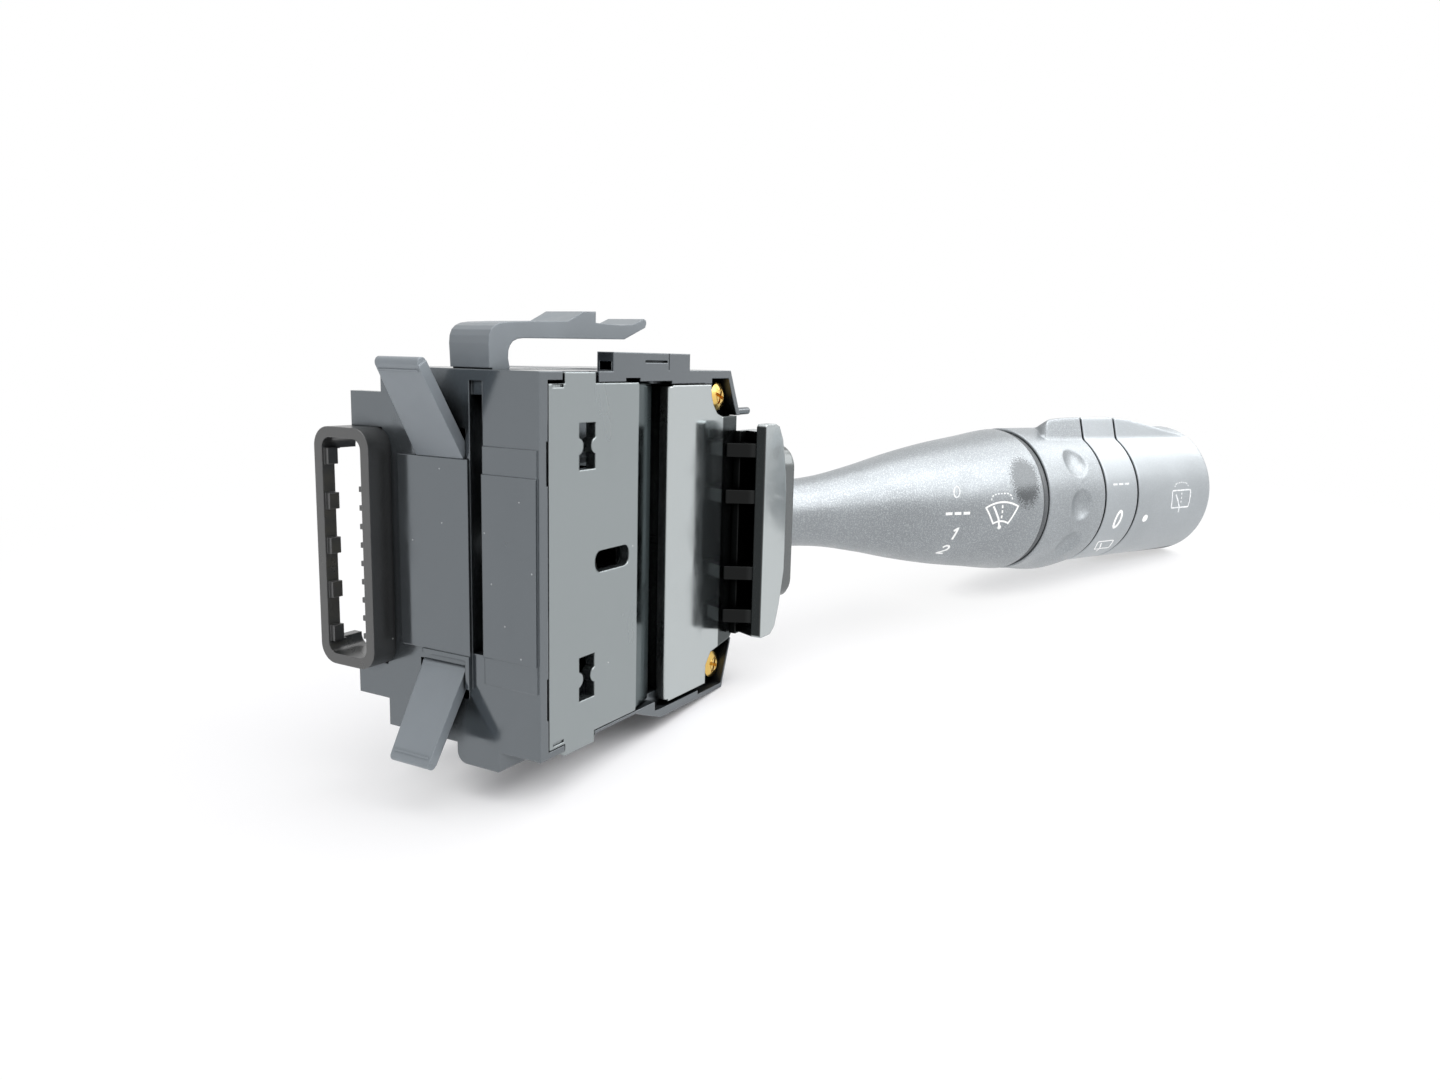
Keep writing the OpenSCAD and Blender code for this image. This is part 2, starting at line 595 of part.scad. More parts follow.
// outer radius of the grip along its axis
function grip_at(t) = let (n = len(slope) - 1, i = min(floor(t * n), n - 1), u = t * n - i,
    a = slope[max(i - 1, 0)], b = slope[i], c = slope[i + 1], d = slope[min(i + 2, n)])
    neck_r + (grip_r - neck_r) * (b + 0.5 * u * (c - a + u * (2 * a - 5 * b + 4 * c - d + u * (3 * (b - c) + d - a))));

module lever_core() {
    color("#232527") place() difference() {
        union() {
            stalk() translate([pull_s, 0, -cheek_in + 0.4]) cylinder(r = 4.5, h = cheek_in + 5.1);
            stalk() block([pull_s, -4, -5.5], [neck_s - 0.3, 4, 5.5]);
            stalk() turned([[neck_s - 3, 0], [neck_s - 3, core_r], [knob_s1 - 4, core_r], [knob_s1 - 4, 0]]);
        }
        stalk() translate([pull_s, 0, -20]) cylinder(r = pull_pin_r + run_gap, h = 40);
        stalk() turned([[neck_s + 6, 0], [neck_s + 6, core_in], [stalk_l, core_in], [stalk_l, 0]]);
    }
}

// plate across the stalk, from station s0 to s1
module shield_face(s0, s1, inset) {
    translate([s0, 1.2, -1]) rotate([0, 90, 0]) linear_extrude(s1 - s0)
        round_rect(shield_h - 2 * inset, shield_w - 2 * inset, 4.6 - inset);
}

module root_shield() {
    color("#2a2c2e") place() stalk() difference() {
        union() {
            shield_face(neck_s, shield_s - 1, 0);
            shield_face(neck_s + 1, shield_s - 0.4, 0.5);
            shield_face(neck_s + 1, shield_s, 1.2);
        }
        turned([[neck_s - 5, 0], [neck_s - 5, core_r], [neck_s + 1, core_r], [neck_s + 1, neck_r], [shield_s + 9, neck_r], [shield_s + 9, 0]]);
    }
}

module stalk_grip() {
    n = 30;
    s0 = neck_s + 1;
    color("#3a3d40") place() stalk() difference() {
        turned(concat([[s0, 0], [s0, neck_r], [shield_s + 0.6, neck_r]],
            [for (i = [1 : n]) let (t = i / n) [shield_s + 0.6 + (grip_s - shield_s - 0.6) * t, grip_at(t)]],
            [[grip_s, 0]]));
        // bore round the core and the hollow inside the flare
        turned([[s0 - 1, 0], [s0 - 1, core_r], [45, core_r], [60, grip_at(0.6) - shell_t],
            [grip_s - 3, grip_at(0.95) - shell_t - 0.4], [grip_s - 3, core_r], [grip_s + 1, core_r], [grip_s + 1, 0]]);
    }
}

module grip_collar() {
    // dark recessed collar between the grip and the interval ring
    color("#111213") place() stalk() turned([[grip_s, core_r], [grip_s, grip_r - 1.6], [collar_s - 0.3, grip_r - 1.6],
        [collar_s - 0.3, core_r]]);
}

// thumb ridge over stations a to b: upright near flank, blunt nose, roof that falls to the far side
module ridge(a, b) {
    rt = knob_r + ridge_h;
    k = (knob_s1 - mark_s1) / 32;
    intersection() {
        translate([80, 0, 0]) rotate([90, 0, 90]) linear_extrude(80)
            polygon([[-9, 12], [-8.7, rt - 5.5], [-8.1, rt - 3.4], [-7.7, rt - 1.2], [-7.3, rt - 0.4], [-6.7, rt - 0.05],
                [-6.1, rt], [-4, rt - 0.75], [0, rt - 2.25], [3.5, rt - 3.6], [6.2, rt - 4.9], [5, 12]]);
        along_y(-20, 20) polygon([[96.4, 9], [96.4, rt - 3.6], [96.8, rt - 1.1], [97.7, rt - 0.6], [99, rt - 0.4],
            [101.7, rt - 0.2], [105, rt], [mark_s1 - 6, rt], [mark_s1 - 1, rt - 0.2], [mark_s1 + 2 * k, rt - 0.45],
            [mark_s1 + 6 * k, rt - 0.85], [mark_s1 + 12.4 * k, rt - 2.1], [mark_s1 + 16 * k, rt - 2.9],
            [mark_s1 + 20 * k, rt - 3.8], [mark_s1 + 26 * k, rt - 5.2], [mark_s1 + 26 * k, 9]]);
        along_z(0, 30) polygon([[96.2, -12], [96.2, -7.6], [96.8, -6.6], [99, -3], [101, 0], [103.5, 8], [stalk_l, 8], [stalk_l, -12]]);
        block([a, -30, 0], [b, 30, 30]);
    }
}

// rounded finger pad under the interval ring
module finger_pad() {
    rt = knob_r + pad_h;
    intersection() {
        translate([80, 0, 0]) rotate([90, 0, 90]) linear_extrude(40)
            polygon([[-10.5, -10], [-10.2, 2.8 - rt], [-8.6, 1.7 - rt], [-6.6, 0.8 - rt], [-3.5, 0.2 - rt], [0, -rt],
                [3.5, 0.2 - rt], [6.6, 0.8 - rt], [8.6, 1.7 - rt], [10.2, 2.8 - rt], [10.5, -10]]);
        bar_y(100.4, 23 - rt, 23, -12, 12);
        block([collar_s + 1, -30, -30], [mark_s0 - 0.5, 30, 0]);
    }
}

module interval_ring() {
    s0 = collar_s;
    s1 = mark_s0 - 0.5;
    color("#3a3d40") place() stalk() difference() {
        union() {
            turned([[s0, core_r + run_gap], [s0, knob_r - 0.3], [s0 + 0.6, knob_r + 0.25], [s1 - 0.4, knob_r + 0.1],
                [s1, knob_r - 0.3], [s1, core_r + run_gap]]);
            ridge(s0 + 1, s1);
            finger_pad();
        }
        turned([[s0 + 2.6, 9], [s0 + 2.6, knob_r - shell_t - 0.6], [s1 + 9, knob_r - shell_t - 0.6], [s1 + 9, core_r],
            [s0 + 12, core_r], [s0 + 12, 9]]);
        // finger dimples
        for (a = [55, 90.5, 127, -55, -90.5, -127]) rotate([a, 0, 0])
            translate([101, 0, knob_r + dimple_r - 1.1]) sphere(r = dimple_r);
    }
}

module interval_contact() {
    color("#b87333") place() stalk() turned([[collar_s + 2.6, 9.3], [collar_s + 2.6, 13], [collar_s + 3.4, 13],
        [collar_s + 3.4, 9.3]]);
}

module mark_ring() {
    s1 = mark_s1;
    color("#3d4043") place() stalk() difference() {
        union() {
            turned([[mark_s0, core_r], [mark_s0, knob_r - 0.3], [mark_s0 + 0.4, knob_r + 0.1], [s1 - 0.4, knob_r],
                [s1, knob_r - 0.4], [s1, core_r]]);
            ridge(mark_s0, s1);
        }
        turned([[mark_s0 - 9, core_r], [mark_s0 - 9, knob_r - shell_t - 1], [s1 - 4, knob_r - shell_t - 1], [s1 - 4, core_r]]);
    }
}

module stalk_board() {
    color("#37503a") place() stalk() block([62, -3.93, -0.5], [118, 3.93, 0.5]);
}

module end_knob() {
    s0 = knob_s0;
    s1 = knob_s1;
    color("#3f4245") place() stalk() difference() {
        union() {
            turned([[s0, core_r + run_gap], [s0, knob_r - 0.4], [s0 + 0.4, knob_r], [s1 - 1.2, knob_r - 0.1],
                [s1 - 0.3, knob_r - 0.5], [s1, knob_r - 1.2], [s1, core_r + run_gap]]);
            ridge(s0, s1);
        }
        turned([[s0 + 2.4, 9], [s0 + 2.4, knob_r - shell_t - 0.6], [s1 + 9, knob_r - shell_t - 0.6], [s1 + 9, core_r],
            [s0 + 0.44 * (s1 - s0), core_r], [s0 + 0.44 * (s1 - s0), 9]]);
    }
}

module knob_contact() {
    color("#b87333") place() stalk() turned([[knob_s0 + 2.4, 9.3], [knob_s0 + 2.4, 13], [knob_s0 + 3.2, 13],
        [knob_s0 + 3.2, 9.3]]);
}

module end_cap() {
    // slightly domed cap pressed into the end knob
    r = knob_r - shell_t - 0.6;
    color("#34373a") place() stalk() turned(concat([[knob_s1 - 3, 0], [knob_s1 - 3, r], [knob_s1, r]],
        [for (i = [1 : 8]) [knob_s1 + 1.4 * sin(11.25 * i), r * cos(11.25 * i)]]));
}

housing();
side_cover();
end_cover();
cover_screws();
connector_frame();
contact_board();
terminal_blades();
swing_pin();
detent_track();
release_latch();
upper_tongue();
lower_tongue();
lever_carrier();
contact_slider();
detent_spring();
detent_plunger();
pull_pin();
return_spring();
lever_core();
root_shield();
stalk_grip();
grip_collar();
mark_ring();
stalk_board();
interval_ring();
interval_contact();
end_knob();
knob_contact();
end_cap();
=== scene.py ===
"""Looks of the wiper stalk switch: grained lever with rings and white marks, moulded housing, pale stage."""
import math

import bmesh
import bpy
import numpy as np
from bpy.props import FloatProperty, FloatVectorProperty, IntProperty, PointerProperty
from mathutils import Matrix, Vector


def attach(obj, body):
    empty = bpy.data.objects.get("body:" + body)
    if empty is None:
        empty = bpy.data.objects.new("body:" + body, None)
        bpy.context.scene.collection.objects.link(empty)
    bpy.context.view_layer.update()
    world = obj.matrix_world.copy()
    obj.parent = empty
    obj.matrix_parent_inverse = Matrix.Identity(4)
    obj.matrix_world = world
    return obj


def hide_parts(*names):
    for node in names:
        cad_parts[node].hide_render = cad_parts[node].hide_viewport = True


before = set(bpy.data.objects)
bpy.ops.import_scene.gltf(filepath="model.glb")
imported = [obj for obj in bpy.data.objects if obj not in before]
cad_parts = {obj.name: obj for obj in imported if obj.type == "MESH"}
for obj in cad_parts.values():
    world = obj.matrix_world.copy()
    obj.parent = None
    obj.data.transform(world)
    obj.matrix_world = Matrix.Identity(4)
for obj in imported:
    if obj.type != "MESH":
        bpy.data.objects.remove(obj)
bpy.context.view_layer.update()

bl_info = {
    "name": "Wiper Stalk Switch",
    "version": (1, 0, 0),
    "blender": (4, 5, 0),
    "location": "View3D > Sidebar > Switch",
    "description": "Makes the lever, its rings and marks, and gives every moulding its finish",
    "category": "Object",
}

MM = 0.001

# growth of the grip's radius from the neck to the wide end, at seven even steps
GRIP_SLOPE = (0.0, 0.075, 0.27, 0.51, 0.71, 0.86, 1.0)

# station and radius of the rings' round skin, in millimetres
RING_BASE = ((89.2, 17.45), (100, 17.4), (110, 17.3), (123, 17.2), (155.2, 17.1))

# station of the thumb ridge's near edge and its drop below the highest point, in millimetres
RIDGE_DROP = ((95.6, 9.0), (96.4, 3.9), (96.8, 1.1), (97.7, 0.62), (98.6, 0.43), (101.7, 0.2), (104.8, 0.05),
              (110, 0.0), (117, 0.0), (122.2, 0.23), (124.6, 0.4), (128.8, 0.83), (135.3, 2.1), (139, 2.95),
              (142.8, 3.8), (146.6, 4.65), (150, 5.4), (156, 7.0))

# distance across the lever, away from the driver, and how far the ridge's nose falls back, in millimetres
NOSE_BACK = ((-30, 0), (-7.4, 0), (-6.2, 0.8), (0, 4.5), (5, 8.0), (9, 12), (30, 12))

# last station of the ridge's nose, and the stretches over which its nose and its near edge are averaged
NOSE_END = 0.11
NOSE_AVERAGE = 0.35 * MM
EDGE_AVERAGE = 1.2 * MM

# how much nearer the axis the roof comes, as it tilts about an edge 7.2 mm to the driver's side, the ridge's
# usual rise over the round, and the rounding where its nose, roof and foot meet the rest
ROOF_INSET = 0.00244
RIDGE_RISE = 1.5 * MM
NOSE_ROUND = 0.4 * MM
ROOF_ROUND = 1.1 * MM
FOOT_ROUND = 0.6 * MM

# finger pad under the interval ring: degrees from the top to its middle, half width in degrees, half length
PAD_MIDDLE = 176
PAD_HALF_WIDTH = 46
PAD_HALF_LENGTH = 11.5 * MM

# angle of the finger dimples on either side of the top, in degrees, the radius they are measured on, and the
# soft rim of a dimple
DIMPLES = (54.5, 90.5, 127.0)
DIMPLE_ROUND = 17.4 * MM
DIMPLE_RIM = 0.3 * MM

# step from a ring's rounded edge in to its flat end face
END_STEP = 0.15 * MM

# worn patch on the grip: station, radius and degrees from the top of its middle, half length and half width
PATCH_PLACE = (0.0816, 0.0172, 66)
PATCH_HALF = (0.0046, 0.0076)

# painted shade: in these spans the colour is halved and the surface made metal, so they look darker and
# mirror less
# spans that mirror less, as the darker bands of the photo: axis, start, stop and share
SIDE_COVER_STRIPS = (("X", 0.0277, 0.0346, 0.92),)
END_COVER_STRIPS = (("X", 0.0573, 0.07, 0.9),)
CARRIER_STRIPS = (("X", 0.04, 0.0606, 0.92), ("Y", -0.0226, 0.03, 0.98))
STRIP_EDGE = 0.2 * MM

# scale of each noise, in features for one metre
TINT_NOISE = 62.0
SMEAR_NOISE = 75.0
GLOSS_NOISE = 130.0
DUST_CELLS = 420.0
WEAR_NOISE = 480.0
INK_WEAR_NOISE = 1500.0
PATCH_NOISE = 2400.0
INK_GLOSS_NOISE = 2600.0
FLOOR_NOISE = 14.0

DUST = (0.62, 0.63, 0.62, 1)

# CAD solids that wear each finish
WEARERS = {
    "housing_satin": "housing", "cover_smooth": "side_cover", "cover_bright": "end_cover",
    "screw_brass": "cover_screws", "frame_dark": "connector_frame", "latch_satin": "release_latch",
    "tongue_satin": "upper_tongue lower_tongue", "carrier_dark": "lever_carrier",
    "shield_satin": "root_shield", "stalk_grain": "stalk_grip", "collar_plain": "grip_collar",
    "ring_grain": "interval_ring", "knob_grain": "mark_ring end_knob end_cap", "core_plain": "lever_core",
    "natural_plastic": "detent_track detent_plunger", "board_laminate": "contact_board stalk_board",
    "spring_steel": "swing_pin detent_spring pull_pin return_spring", "blade_tin": "terminal_blades",
    "contact_copper": "contact_slider interval_contact knob_contact",
}

# name, setting of the power, place, point it faces and width of each lamp
LAMPS = (("top_light", "key", (0.1, -0.06, 0.5), (0.07, -0.02, 0), 0.55),
         ("side_light", "side", (0.17, -0.43, 0.34), (0.1, -0.03, 0), 0.42),
         ("far_light", "back", (0.484, -0.242, 0.302), (0.17, -0.07, 0), 0.26))

FLOOR_HALF = 1.2
FLOOR_WHITES = ((0.95, 0.94, 0.965, 1), (0.98, 0.975, 0.99, 1))

# white that the camera sees on the floor, by the distance from the housing's middle: near it, far from it and
# what is left of both in closed corners, which paints contact shade; from, to, share at the first and share
# at the second distance
HOUSING_MIDDLE = (0.03, 0.01, 0)
NEAR_WHITE = (0.04, 0.11, 0.45, 0.9)
FAR_WHITE = (0.16, 0.32, 0.0, 0.12)
CORNER_WHITE = (0.06, 0.14, 0.1, 0.62)

# reach of the painted shade in gaps, and of the painted contact shade on the floor
GAP_REACH = 9 * MM

WHITE = (1, 1, 1, 1)
SKY = (0.97, 0.98, 1.0, 1)
SENSOR_WIDTH = 36


# Sizes, colours and stage

def a_length(label, about, default, **more):
    """Length in metres, or a row of lengths, that a user can change."""
    kind = FloatVectorProperty if isinstance(default, tuple) else FloatProperty
    return kind(name=label, description=about, default=default, unit="LENGTH", precision=5, **more)


def an_angle(label, about, degrees):
    """Angle that a user can change."""
    return FloatProperty(name=label, description=about, default=math.radians(degrees), subtype="ANGLE",
                         unit="ROTATION")


def a_colour(label, about, default):
    """Colour that a user can change."""
    return FloatVectorProperty(name=label, description=about, default=default, subtype="COLOR", size=4, min=0,
                               max=1)


class StalkSizes(bpy.types.PropertyGroup):
    """Sizes of the lever, measured from the lever mouth along its own axis."""

    angle: an_angle("Stalk angle", "Angle of the stalk towards the driver", 27.9)
    root: a_length("Stalk root", "Point where the stations start", (0.066, -0.0068, 0.0), subtype="XYZ")
    neck_radius: a_length("Neck radius", "Radius of the grip behind the shield", 0.0073)
    grip_radius: a_length("Grip radius", "Radius of the grip at its wide end", 0.0178)
    grip_start: a_length("Grip start", "Station of the grip's hidden end", 0.0162)
    flare_start: a_length("Flare start", "Station where the grip starts to widen", 0.0194)
    grip_end: a_length("Grip end", "Station of the grip's wide end", 0.0868)
    collar_end: a_length("Collar end", "Station where the recessed collar ends", 0.0889)
    collar_radius: a_length("Collar radius", "Radius of the recessed collar", 0.0172)
    interval_span: a_length("Interval ring", "First and last station of the ring", (0.0892, 0.10995), size=2)
    mark_span: a_length("Mark ring", "First and last station of the fixed ring", (0.1106, 0.12285), size=2)
    knob_span: a_length("End knob", "First and last station of the knob", (0.12355, 0.155), size=2)
    core_radius: a_length("Bore radius", "Radius of the bore round the lever core", 0.00605)
    cap_radius: a_length("Cap radius", "Radius of the end cap", 0.0144)
    cap_dome: a_length("Cap dome", "Height of the end cap's dome", 0.0014)
    crest: a_length("Ridge crest", "Height of the thumb ridge above the axis", 0.02125)
    flank: a_length("Ridge flank", "Distance of the ridge's near side from the axis", 0.01225)
    lean: an_angle("Flank lean", "Lean of the ridge's near side", 14.6)
    fall: an_angle("Roof fall", "Fall of the ridge's roof away from the driver", 19.8)
    oval: a_length("Ring oval", "Extra radius of the rings above and below the axis", 0.0005)
    pad: a_length("Finger pad", "Rise of the pad under the interval ring", 0.00125)
    pad_station: a_length("Pad station", "Station of the pad's middle", 0.1012)
    dimple_station: a_length("Dimple station", "Station of the finger dimples", 0.101)
    dimple_radius: a_length("Dimple ball", "Radius of the ball that presses a dimple", 0.006)
    dimple_depth: a_length("Dimple depth", "Depth of a finger dimple", 0.0015)
    directions: IntProperty(name="Directions", description="Points round each ring", default=512, min=48)


class PrintSizes(bpy.types.PropertyGroup):
    """Print on the lever: thickness of the ink and widths of its strokes."""

    rise: a_length("Ink height", "Height of the ink over the skin", 0.00003)
    sink: a_length("Ink root", "Depth of the ink's sides under the skin", 0.00008)
    line: a_length("Line width", "Width of the pictogram lines", 0.00042)
    bold: a_length("Bold width", "Width of the number strokes", 0.00055)


class FinishColours(bpy.types.PropertyGroup):
    """Colours of the mouldings, before wear and dust."""

    housing: a_colour("Housing", "Satin plastic of the housing", (0.021, 0.024, 0.026, 1))
    cover: a_colour("Covers", "Smooth plastic of the two covers", (0.028, 0.032, 0.033, 1))
    dark: a_colour("Dark parts", "Near black plastic of frame and carrier", (0.03, 0.031, 0.031, 1))
    latch: a_colour("Latch", "Grey black plastic of latch and tongues", (0.142, 0.157, 0.17, 1))
    stalk: a_colour("Stalk", "Grained graphite plastic of the lever", (0.33, 0.352, 0.368, 1))
    ink: a_colour("Print", "White ink of the marks", (0.9, 0.9, 0.88, 1))
    brass: a_colour("Screws", "Brass coloured zinc of the screws", (0.83, 0.56, 0.17, 1))


class StageSettings(bpy.types.PropertyGroup):
    """Floor, light and camera."""

    floor_point: a_length("Floor point", "Point of the floor under the front edge", (0.0594, 0.0, -0.0335),
                          subtype="XYZ")
    floor_slope: FloatProperty(name="Floor slope", description="Rise of the floor for one along X",
                               default=0.1142)
    key: FloatProperty(name="Top light", description="Power of the large lamp above", default=2.0)
    side: FloatProperty(name="Side light", description="Power of the lamp on the driver's side", default=1.4)
    back: FloatProperty(name="Far light", description="Power of the lamp beyond the end knob", default=0.5)
    ambient: FloatProperty(name="Ambient", description="Strength of the light from all round", default=0.6)
    camera_place: a_length("Camera", "Place of the camera", (-0.12745, -0.12141, 0.03385), subtype="XYZ")
    yaw: an_angle("Yaw", "Direction of view from X towards Y", 29.53)
    pitch: an_angle("Pitch", "Downward tilt of the view", 9.67)
    roll: an_angle("Roll", "Turn of the picture about the view", -1.41)
    lens: FloatProperty(name="Lens", description="Focal length on a 36 mm wide sensor", default=26.72)


# Surfaces

def soft_max(a, b, k):
    """The larger of a and b, rounded where they meet: adds (k - |a - b|) squared / 4k inside the band k."""
    return np.maximum(a, b) + np.maximum(k - np.abs(a - b), 0) ** 2 / (4 * k)


def soft_min(a, b, k):
    """The smaller of a and b, rounded where they meet."""
    return -soft_max(-a, -b, k)


def through(values, t):
    """Cubic through evenly spaced values; each span starts and ends along the line between its neighbours."""
    v = np.asarray(values, float)
    last = len(v) - 1
    x = np.clip(t, 0, 1) * last
    i = np.minimum(x.astype(int), last - 1)
    u = x - i
    a, b, c, d = v[np.maximum(i - 1, 0)], v[i], v[i + 1], v[np.minimum(i + 2, last)]
    return b + 0.5 * u * (c - a + u * (2 * a - 5 * b + 4 * c - d + u * (3 * (b - c) + d - a)))


def grid_faces(rows, columns, wrap_rows, wrap_columns):
    """Four sided faces of a grid: each joins a point to its neighbours along both parameters."""
    i = np.arange(rows if wrap_rows else rows - 1)[:, None]
    j = np.arange(columns if wrap_columns else columns - 1)[None, :]
    after_i = (i + 1) % rows
    after_j = (j + 1) % columns
    return np.stack([i * columns + j, i * columns + after_j, after_i * columns + after_j,
                     after_i * columns + j], -1).reshape(-1, 4)


def mesh_piece(name, points, faces, smooth=True):
    """Mesh object at the origin from arrays of points and faces; poles merge and faces turn outwards."""
    mesh = bpy.data.meshes.new(name)
    points = np.ascontiguousarray(points.reshape(-1, 3), np.float32)
    mesh.vertices.add(len(points))
    mesh.vertices.foreach_set("co", points.ravel())
    mesh.loops.add(faces.size)
    mesh.loops.foreach_set("vertex_index", faces.ravel().astype(np.int32))
    mesh.polygons.add(len(faces))
    mesh.polygons.foreach_set("loop_start", np.arange(0, faces.size, 4, dtype=np.int32))
    mesh.update(calc_edges=True)
    work = bmesh.new()
    work.from_mesh(mesh)
    bmesh.ops.remove_doubles(work, verts=work.verts, dist=1e-7)
    bmesh.ops.recalc_face_normals(work, faces=work.faces)
    work.to_mesh(mesh)
    work.free()
    mesh.polygons.foreach_set("use_smooth", np.full(len(mesh.polygons), smooth))
    mesh.update()
    piece = bpy.data.objects.new(name, mesh)
    bpy.context.scene.collection.objects.link(piece)
    return piece


def all_round(sizes):
    """Directions of the points round a ring, from the top towards the driver."""
    return np.linspace(0, 2 * math.pi, sizes.directions, endpoint=False)[None, :]


def turn_from(theta, middle):
    """Angle of theta past the middle, between minus and plus half a turn."""
    return np.angle(np.exp(1j * (theta - middle)))


def on_stalk(sizes, station, radius, theta):
    """Point of the lever: station along the axis, radius from it, theta from the top towards the driver."""
    across = -radius * np.sin(theta)
    up = radius * np.cos(theta)
    c, q = math.cos(sizes.angle), math.sin(sizes.angle)
    x = sizes.root[0] + station * c + across * q
    y = sizes.root[1] - station * q + across * c
    return np.stack(np.broadcast_arrays(x, y, sizes.root[2] + up), -1)


def turned(name, sizes, stations, radii, closed=True):
    """Surface turned about the lever's axis: row i is the loop of radii[i] at stations[i]."""
    theta = all_round(sizes)
    s = np.asarray(stations, float)[:, None]
    r = np.asarray(radii, float)
    r = r[:, None] if r.ndim == 1 else r
    points = on_stalk(sizes, s, r + 0 * theta, theta)
    return mesh_piece(name, points, grid_faces(len(s), sizes.directions, closed, True))


def grip_radius(sizes, s):
    """Radius of the grip: neck radius, then a cubic through the flare's steps up to the wide end."""
    t = (s - sizes.flare_start) / (sizes.grip_end - sizes.flare_start)
    return sizes.neck_radius + (sizes.grip_radius - sizes.neck_radius) * through(GRIP_SLOPE, t)


def crest_drop(s, reach):
    """Drop of the ridge's near edge: straight pieces between the listed stations, averaged over the reach."""
    table = np.array(RIDGE_DROP) * MM
    steps = np.linspace(-1, 1, 13)
    weight = np.cos(steps * math.pi / 2) + 0.02
    parts = [w * np.interp(s + o * reach, table[:, 0], table[:, 1]) for o, w in zip(steps, weight)]
    return sum(parts) / weight.sum()


def ring_skin(sizes, s, theta):
    """Radius of the rings: a slightly oval round with the wedge shaped thumb ridge on top.

    In direction theta the ridge reaches to flank / sin(theta + lean), its near side, or to
    height / cos(theta + fall), its roof, whichever is nearer. Past the direction in which the roof is square
    to the radius it sinks into the round, as far as it rises before it. Its nose is the station's drop, read
    further back the further it lies from the driver, so the nose runs back across the lever.
    """
    table = np.array(RING_BASE) * MM
    up = np.cos(theta)
    base = np.interp(s, table[:, 0], table[:, 1]) + sizes.oval * up ** 2
    side = sizes.flank / np.maximum(np.sin(theta + sizes.lean), 0.05)
    across = -(base + RIDGE_RISE) * np.sin(theta)
    back = np.interp(across, *(np.array(NOSE_BACK) * MM).T)
    front = crest_drop(np.minimum(s - back, NOSE_END), NOSE_AVERAGE)
    drop = soft_max(front, crest_drop(s, EDGE_AVERAGE), NOSE_ROUND)
    height = (sizes.crest - drop) * math.cos(sizes.fall) - ROOF_INSET
    rise = 1 / np.maximum(np.cos(theta + sizes.fall), 0.08)
    roof = height * np.where(np.sin(theta + sizes.fall) > 0, rise, 2 - rise)
    wedge = np.where(up > 0, soft_min(side, roof, ROOF_ROUND), 0)
    return soft_max(base, wedge, FOOT_ROUND)


def dimpled_skin(sizes, s, theta):
    """Ring skin with the finger pad and less the dimples.

    The pad is a smooth hill, its rise times the cosine, to the power 1.5, of the distance from its middle.
    A dimple is a ball pressed in by its depth, with a soft rim.
    """
    off = np.hypot((s - sizes.pad_station) / PAD_HALF_LENGTH,
                   turn_from(theta, math.radians(PAD_MIDDLE)) / math.radians(PAD_HALF_WIDTH))
    skin = ring_skin(sizes, s, theta) + sizes.pad * np.cos(np.minimum(off, 1) * math.pi / 2) ** 1.5
    ball = sizes.dimple_radius
    for degrees in DIMPLES:
        for sign in (1, -1):
            arc_length = turn_from(theta, sign * math.radians(degrees)) * DIMPLE_ROUND
            away = (s - sizes.dimple_station) ** 2 + arc_length ** 2
            cap = np.sqrt(np.maximum(ball ** 2 - away, 0)) - (ball - sizes.dimple_depth)
            skin = skin - np.where(away < ball ** 2, soft_max(cap, 0 * cap, DIMPLE_RIM), 0)
    return skin


def quarter_round(ease, count):
    """Points of a quarter circle: ease (1 - cos f) and ease (1 - sin f), with f up to a quarter turn."""
    f = np.linspace(0, math.pi / 2, count)
    return ease * (1 - np.cos(f)), ease * (1 - np.sin(f))


def ring(name, sizes, span, skin, ease, inner, rows):
    """Closed ring: outer skin with rounded ends, then the inner path of (station, radius) to the start."""
    (first, first_draw), (last, last_draw) = (quarter_round(e, 7) for e in ease)
    s = np.concatenate([span[0] + first, np.linspace(span[0] + ease[0], span[1] - ease[1], rows)[1:-1],
                        (span[1] - last)[::-1]])
    draw = np.concatenate([first_draw, np.zeros(rows - 2), last_draw[::-1]])
    theta = all_round(sizes)
    outer = skin(sizes, s[:, None], theta) - draw[:, None]
    inner_s, inner_r = np.array(inner, float).T
    stations = np.concatenate([s, [span[1]], inner_s, [span[0]]])
    radii = np.concatenate([outer, outer[-1:] - END_STEP, inner_r[:, None] + 0 * theta, outer[:1] - END_STEP])
    return turned(name, sizes, stations, radii)


# Print

def arc(centre, radii, start, stop, count=24):
    """Points of an ellipse's arc, angles in degrees from the right, turning upwards."""
    a = np.radians(np.linspace(start, stop, count))
    return np.stack([centre[0] + radii[0] * np.cos(a), centre[1] + radii[1] * np.sin(a)], -1)


def oval(width, height, count=32):
    """Points once round an ellipse, without repeating the first."""
    return arc((0, 0), (width / 2, height / 2), 0, 360, count + 1)[:-1]


def length_along(points):
    """Length of the path up to each of its points."""
    return np.concatenate([[0], np.cumsum(np.linalg.norm(np.diff(points, axis=0), axis=1))])


def points_at(points, run, at):
    """Points of a path at the given lengths along it."""
    return np.stack([np.interp(at, run, points[:, 0]), np.interp(at, run, points[:, 1])], -1)


def dashes(points, marks, gap=0.4):
    """Cuts a path into equal marks; gap is the share of each step that stays bare."""
    pts = np.asarray(points, float)
    run = length_along(pts)
    step = run[-1] / (marks - gap)
    at = (np.arange(marks) * step)[:, None] + np.linspace(0, 1, 5)[None, :] * step * (1 - gap)
    return [points_at(pts, run, row) for row in at]


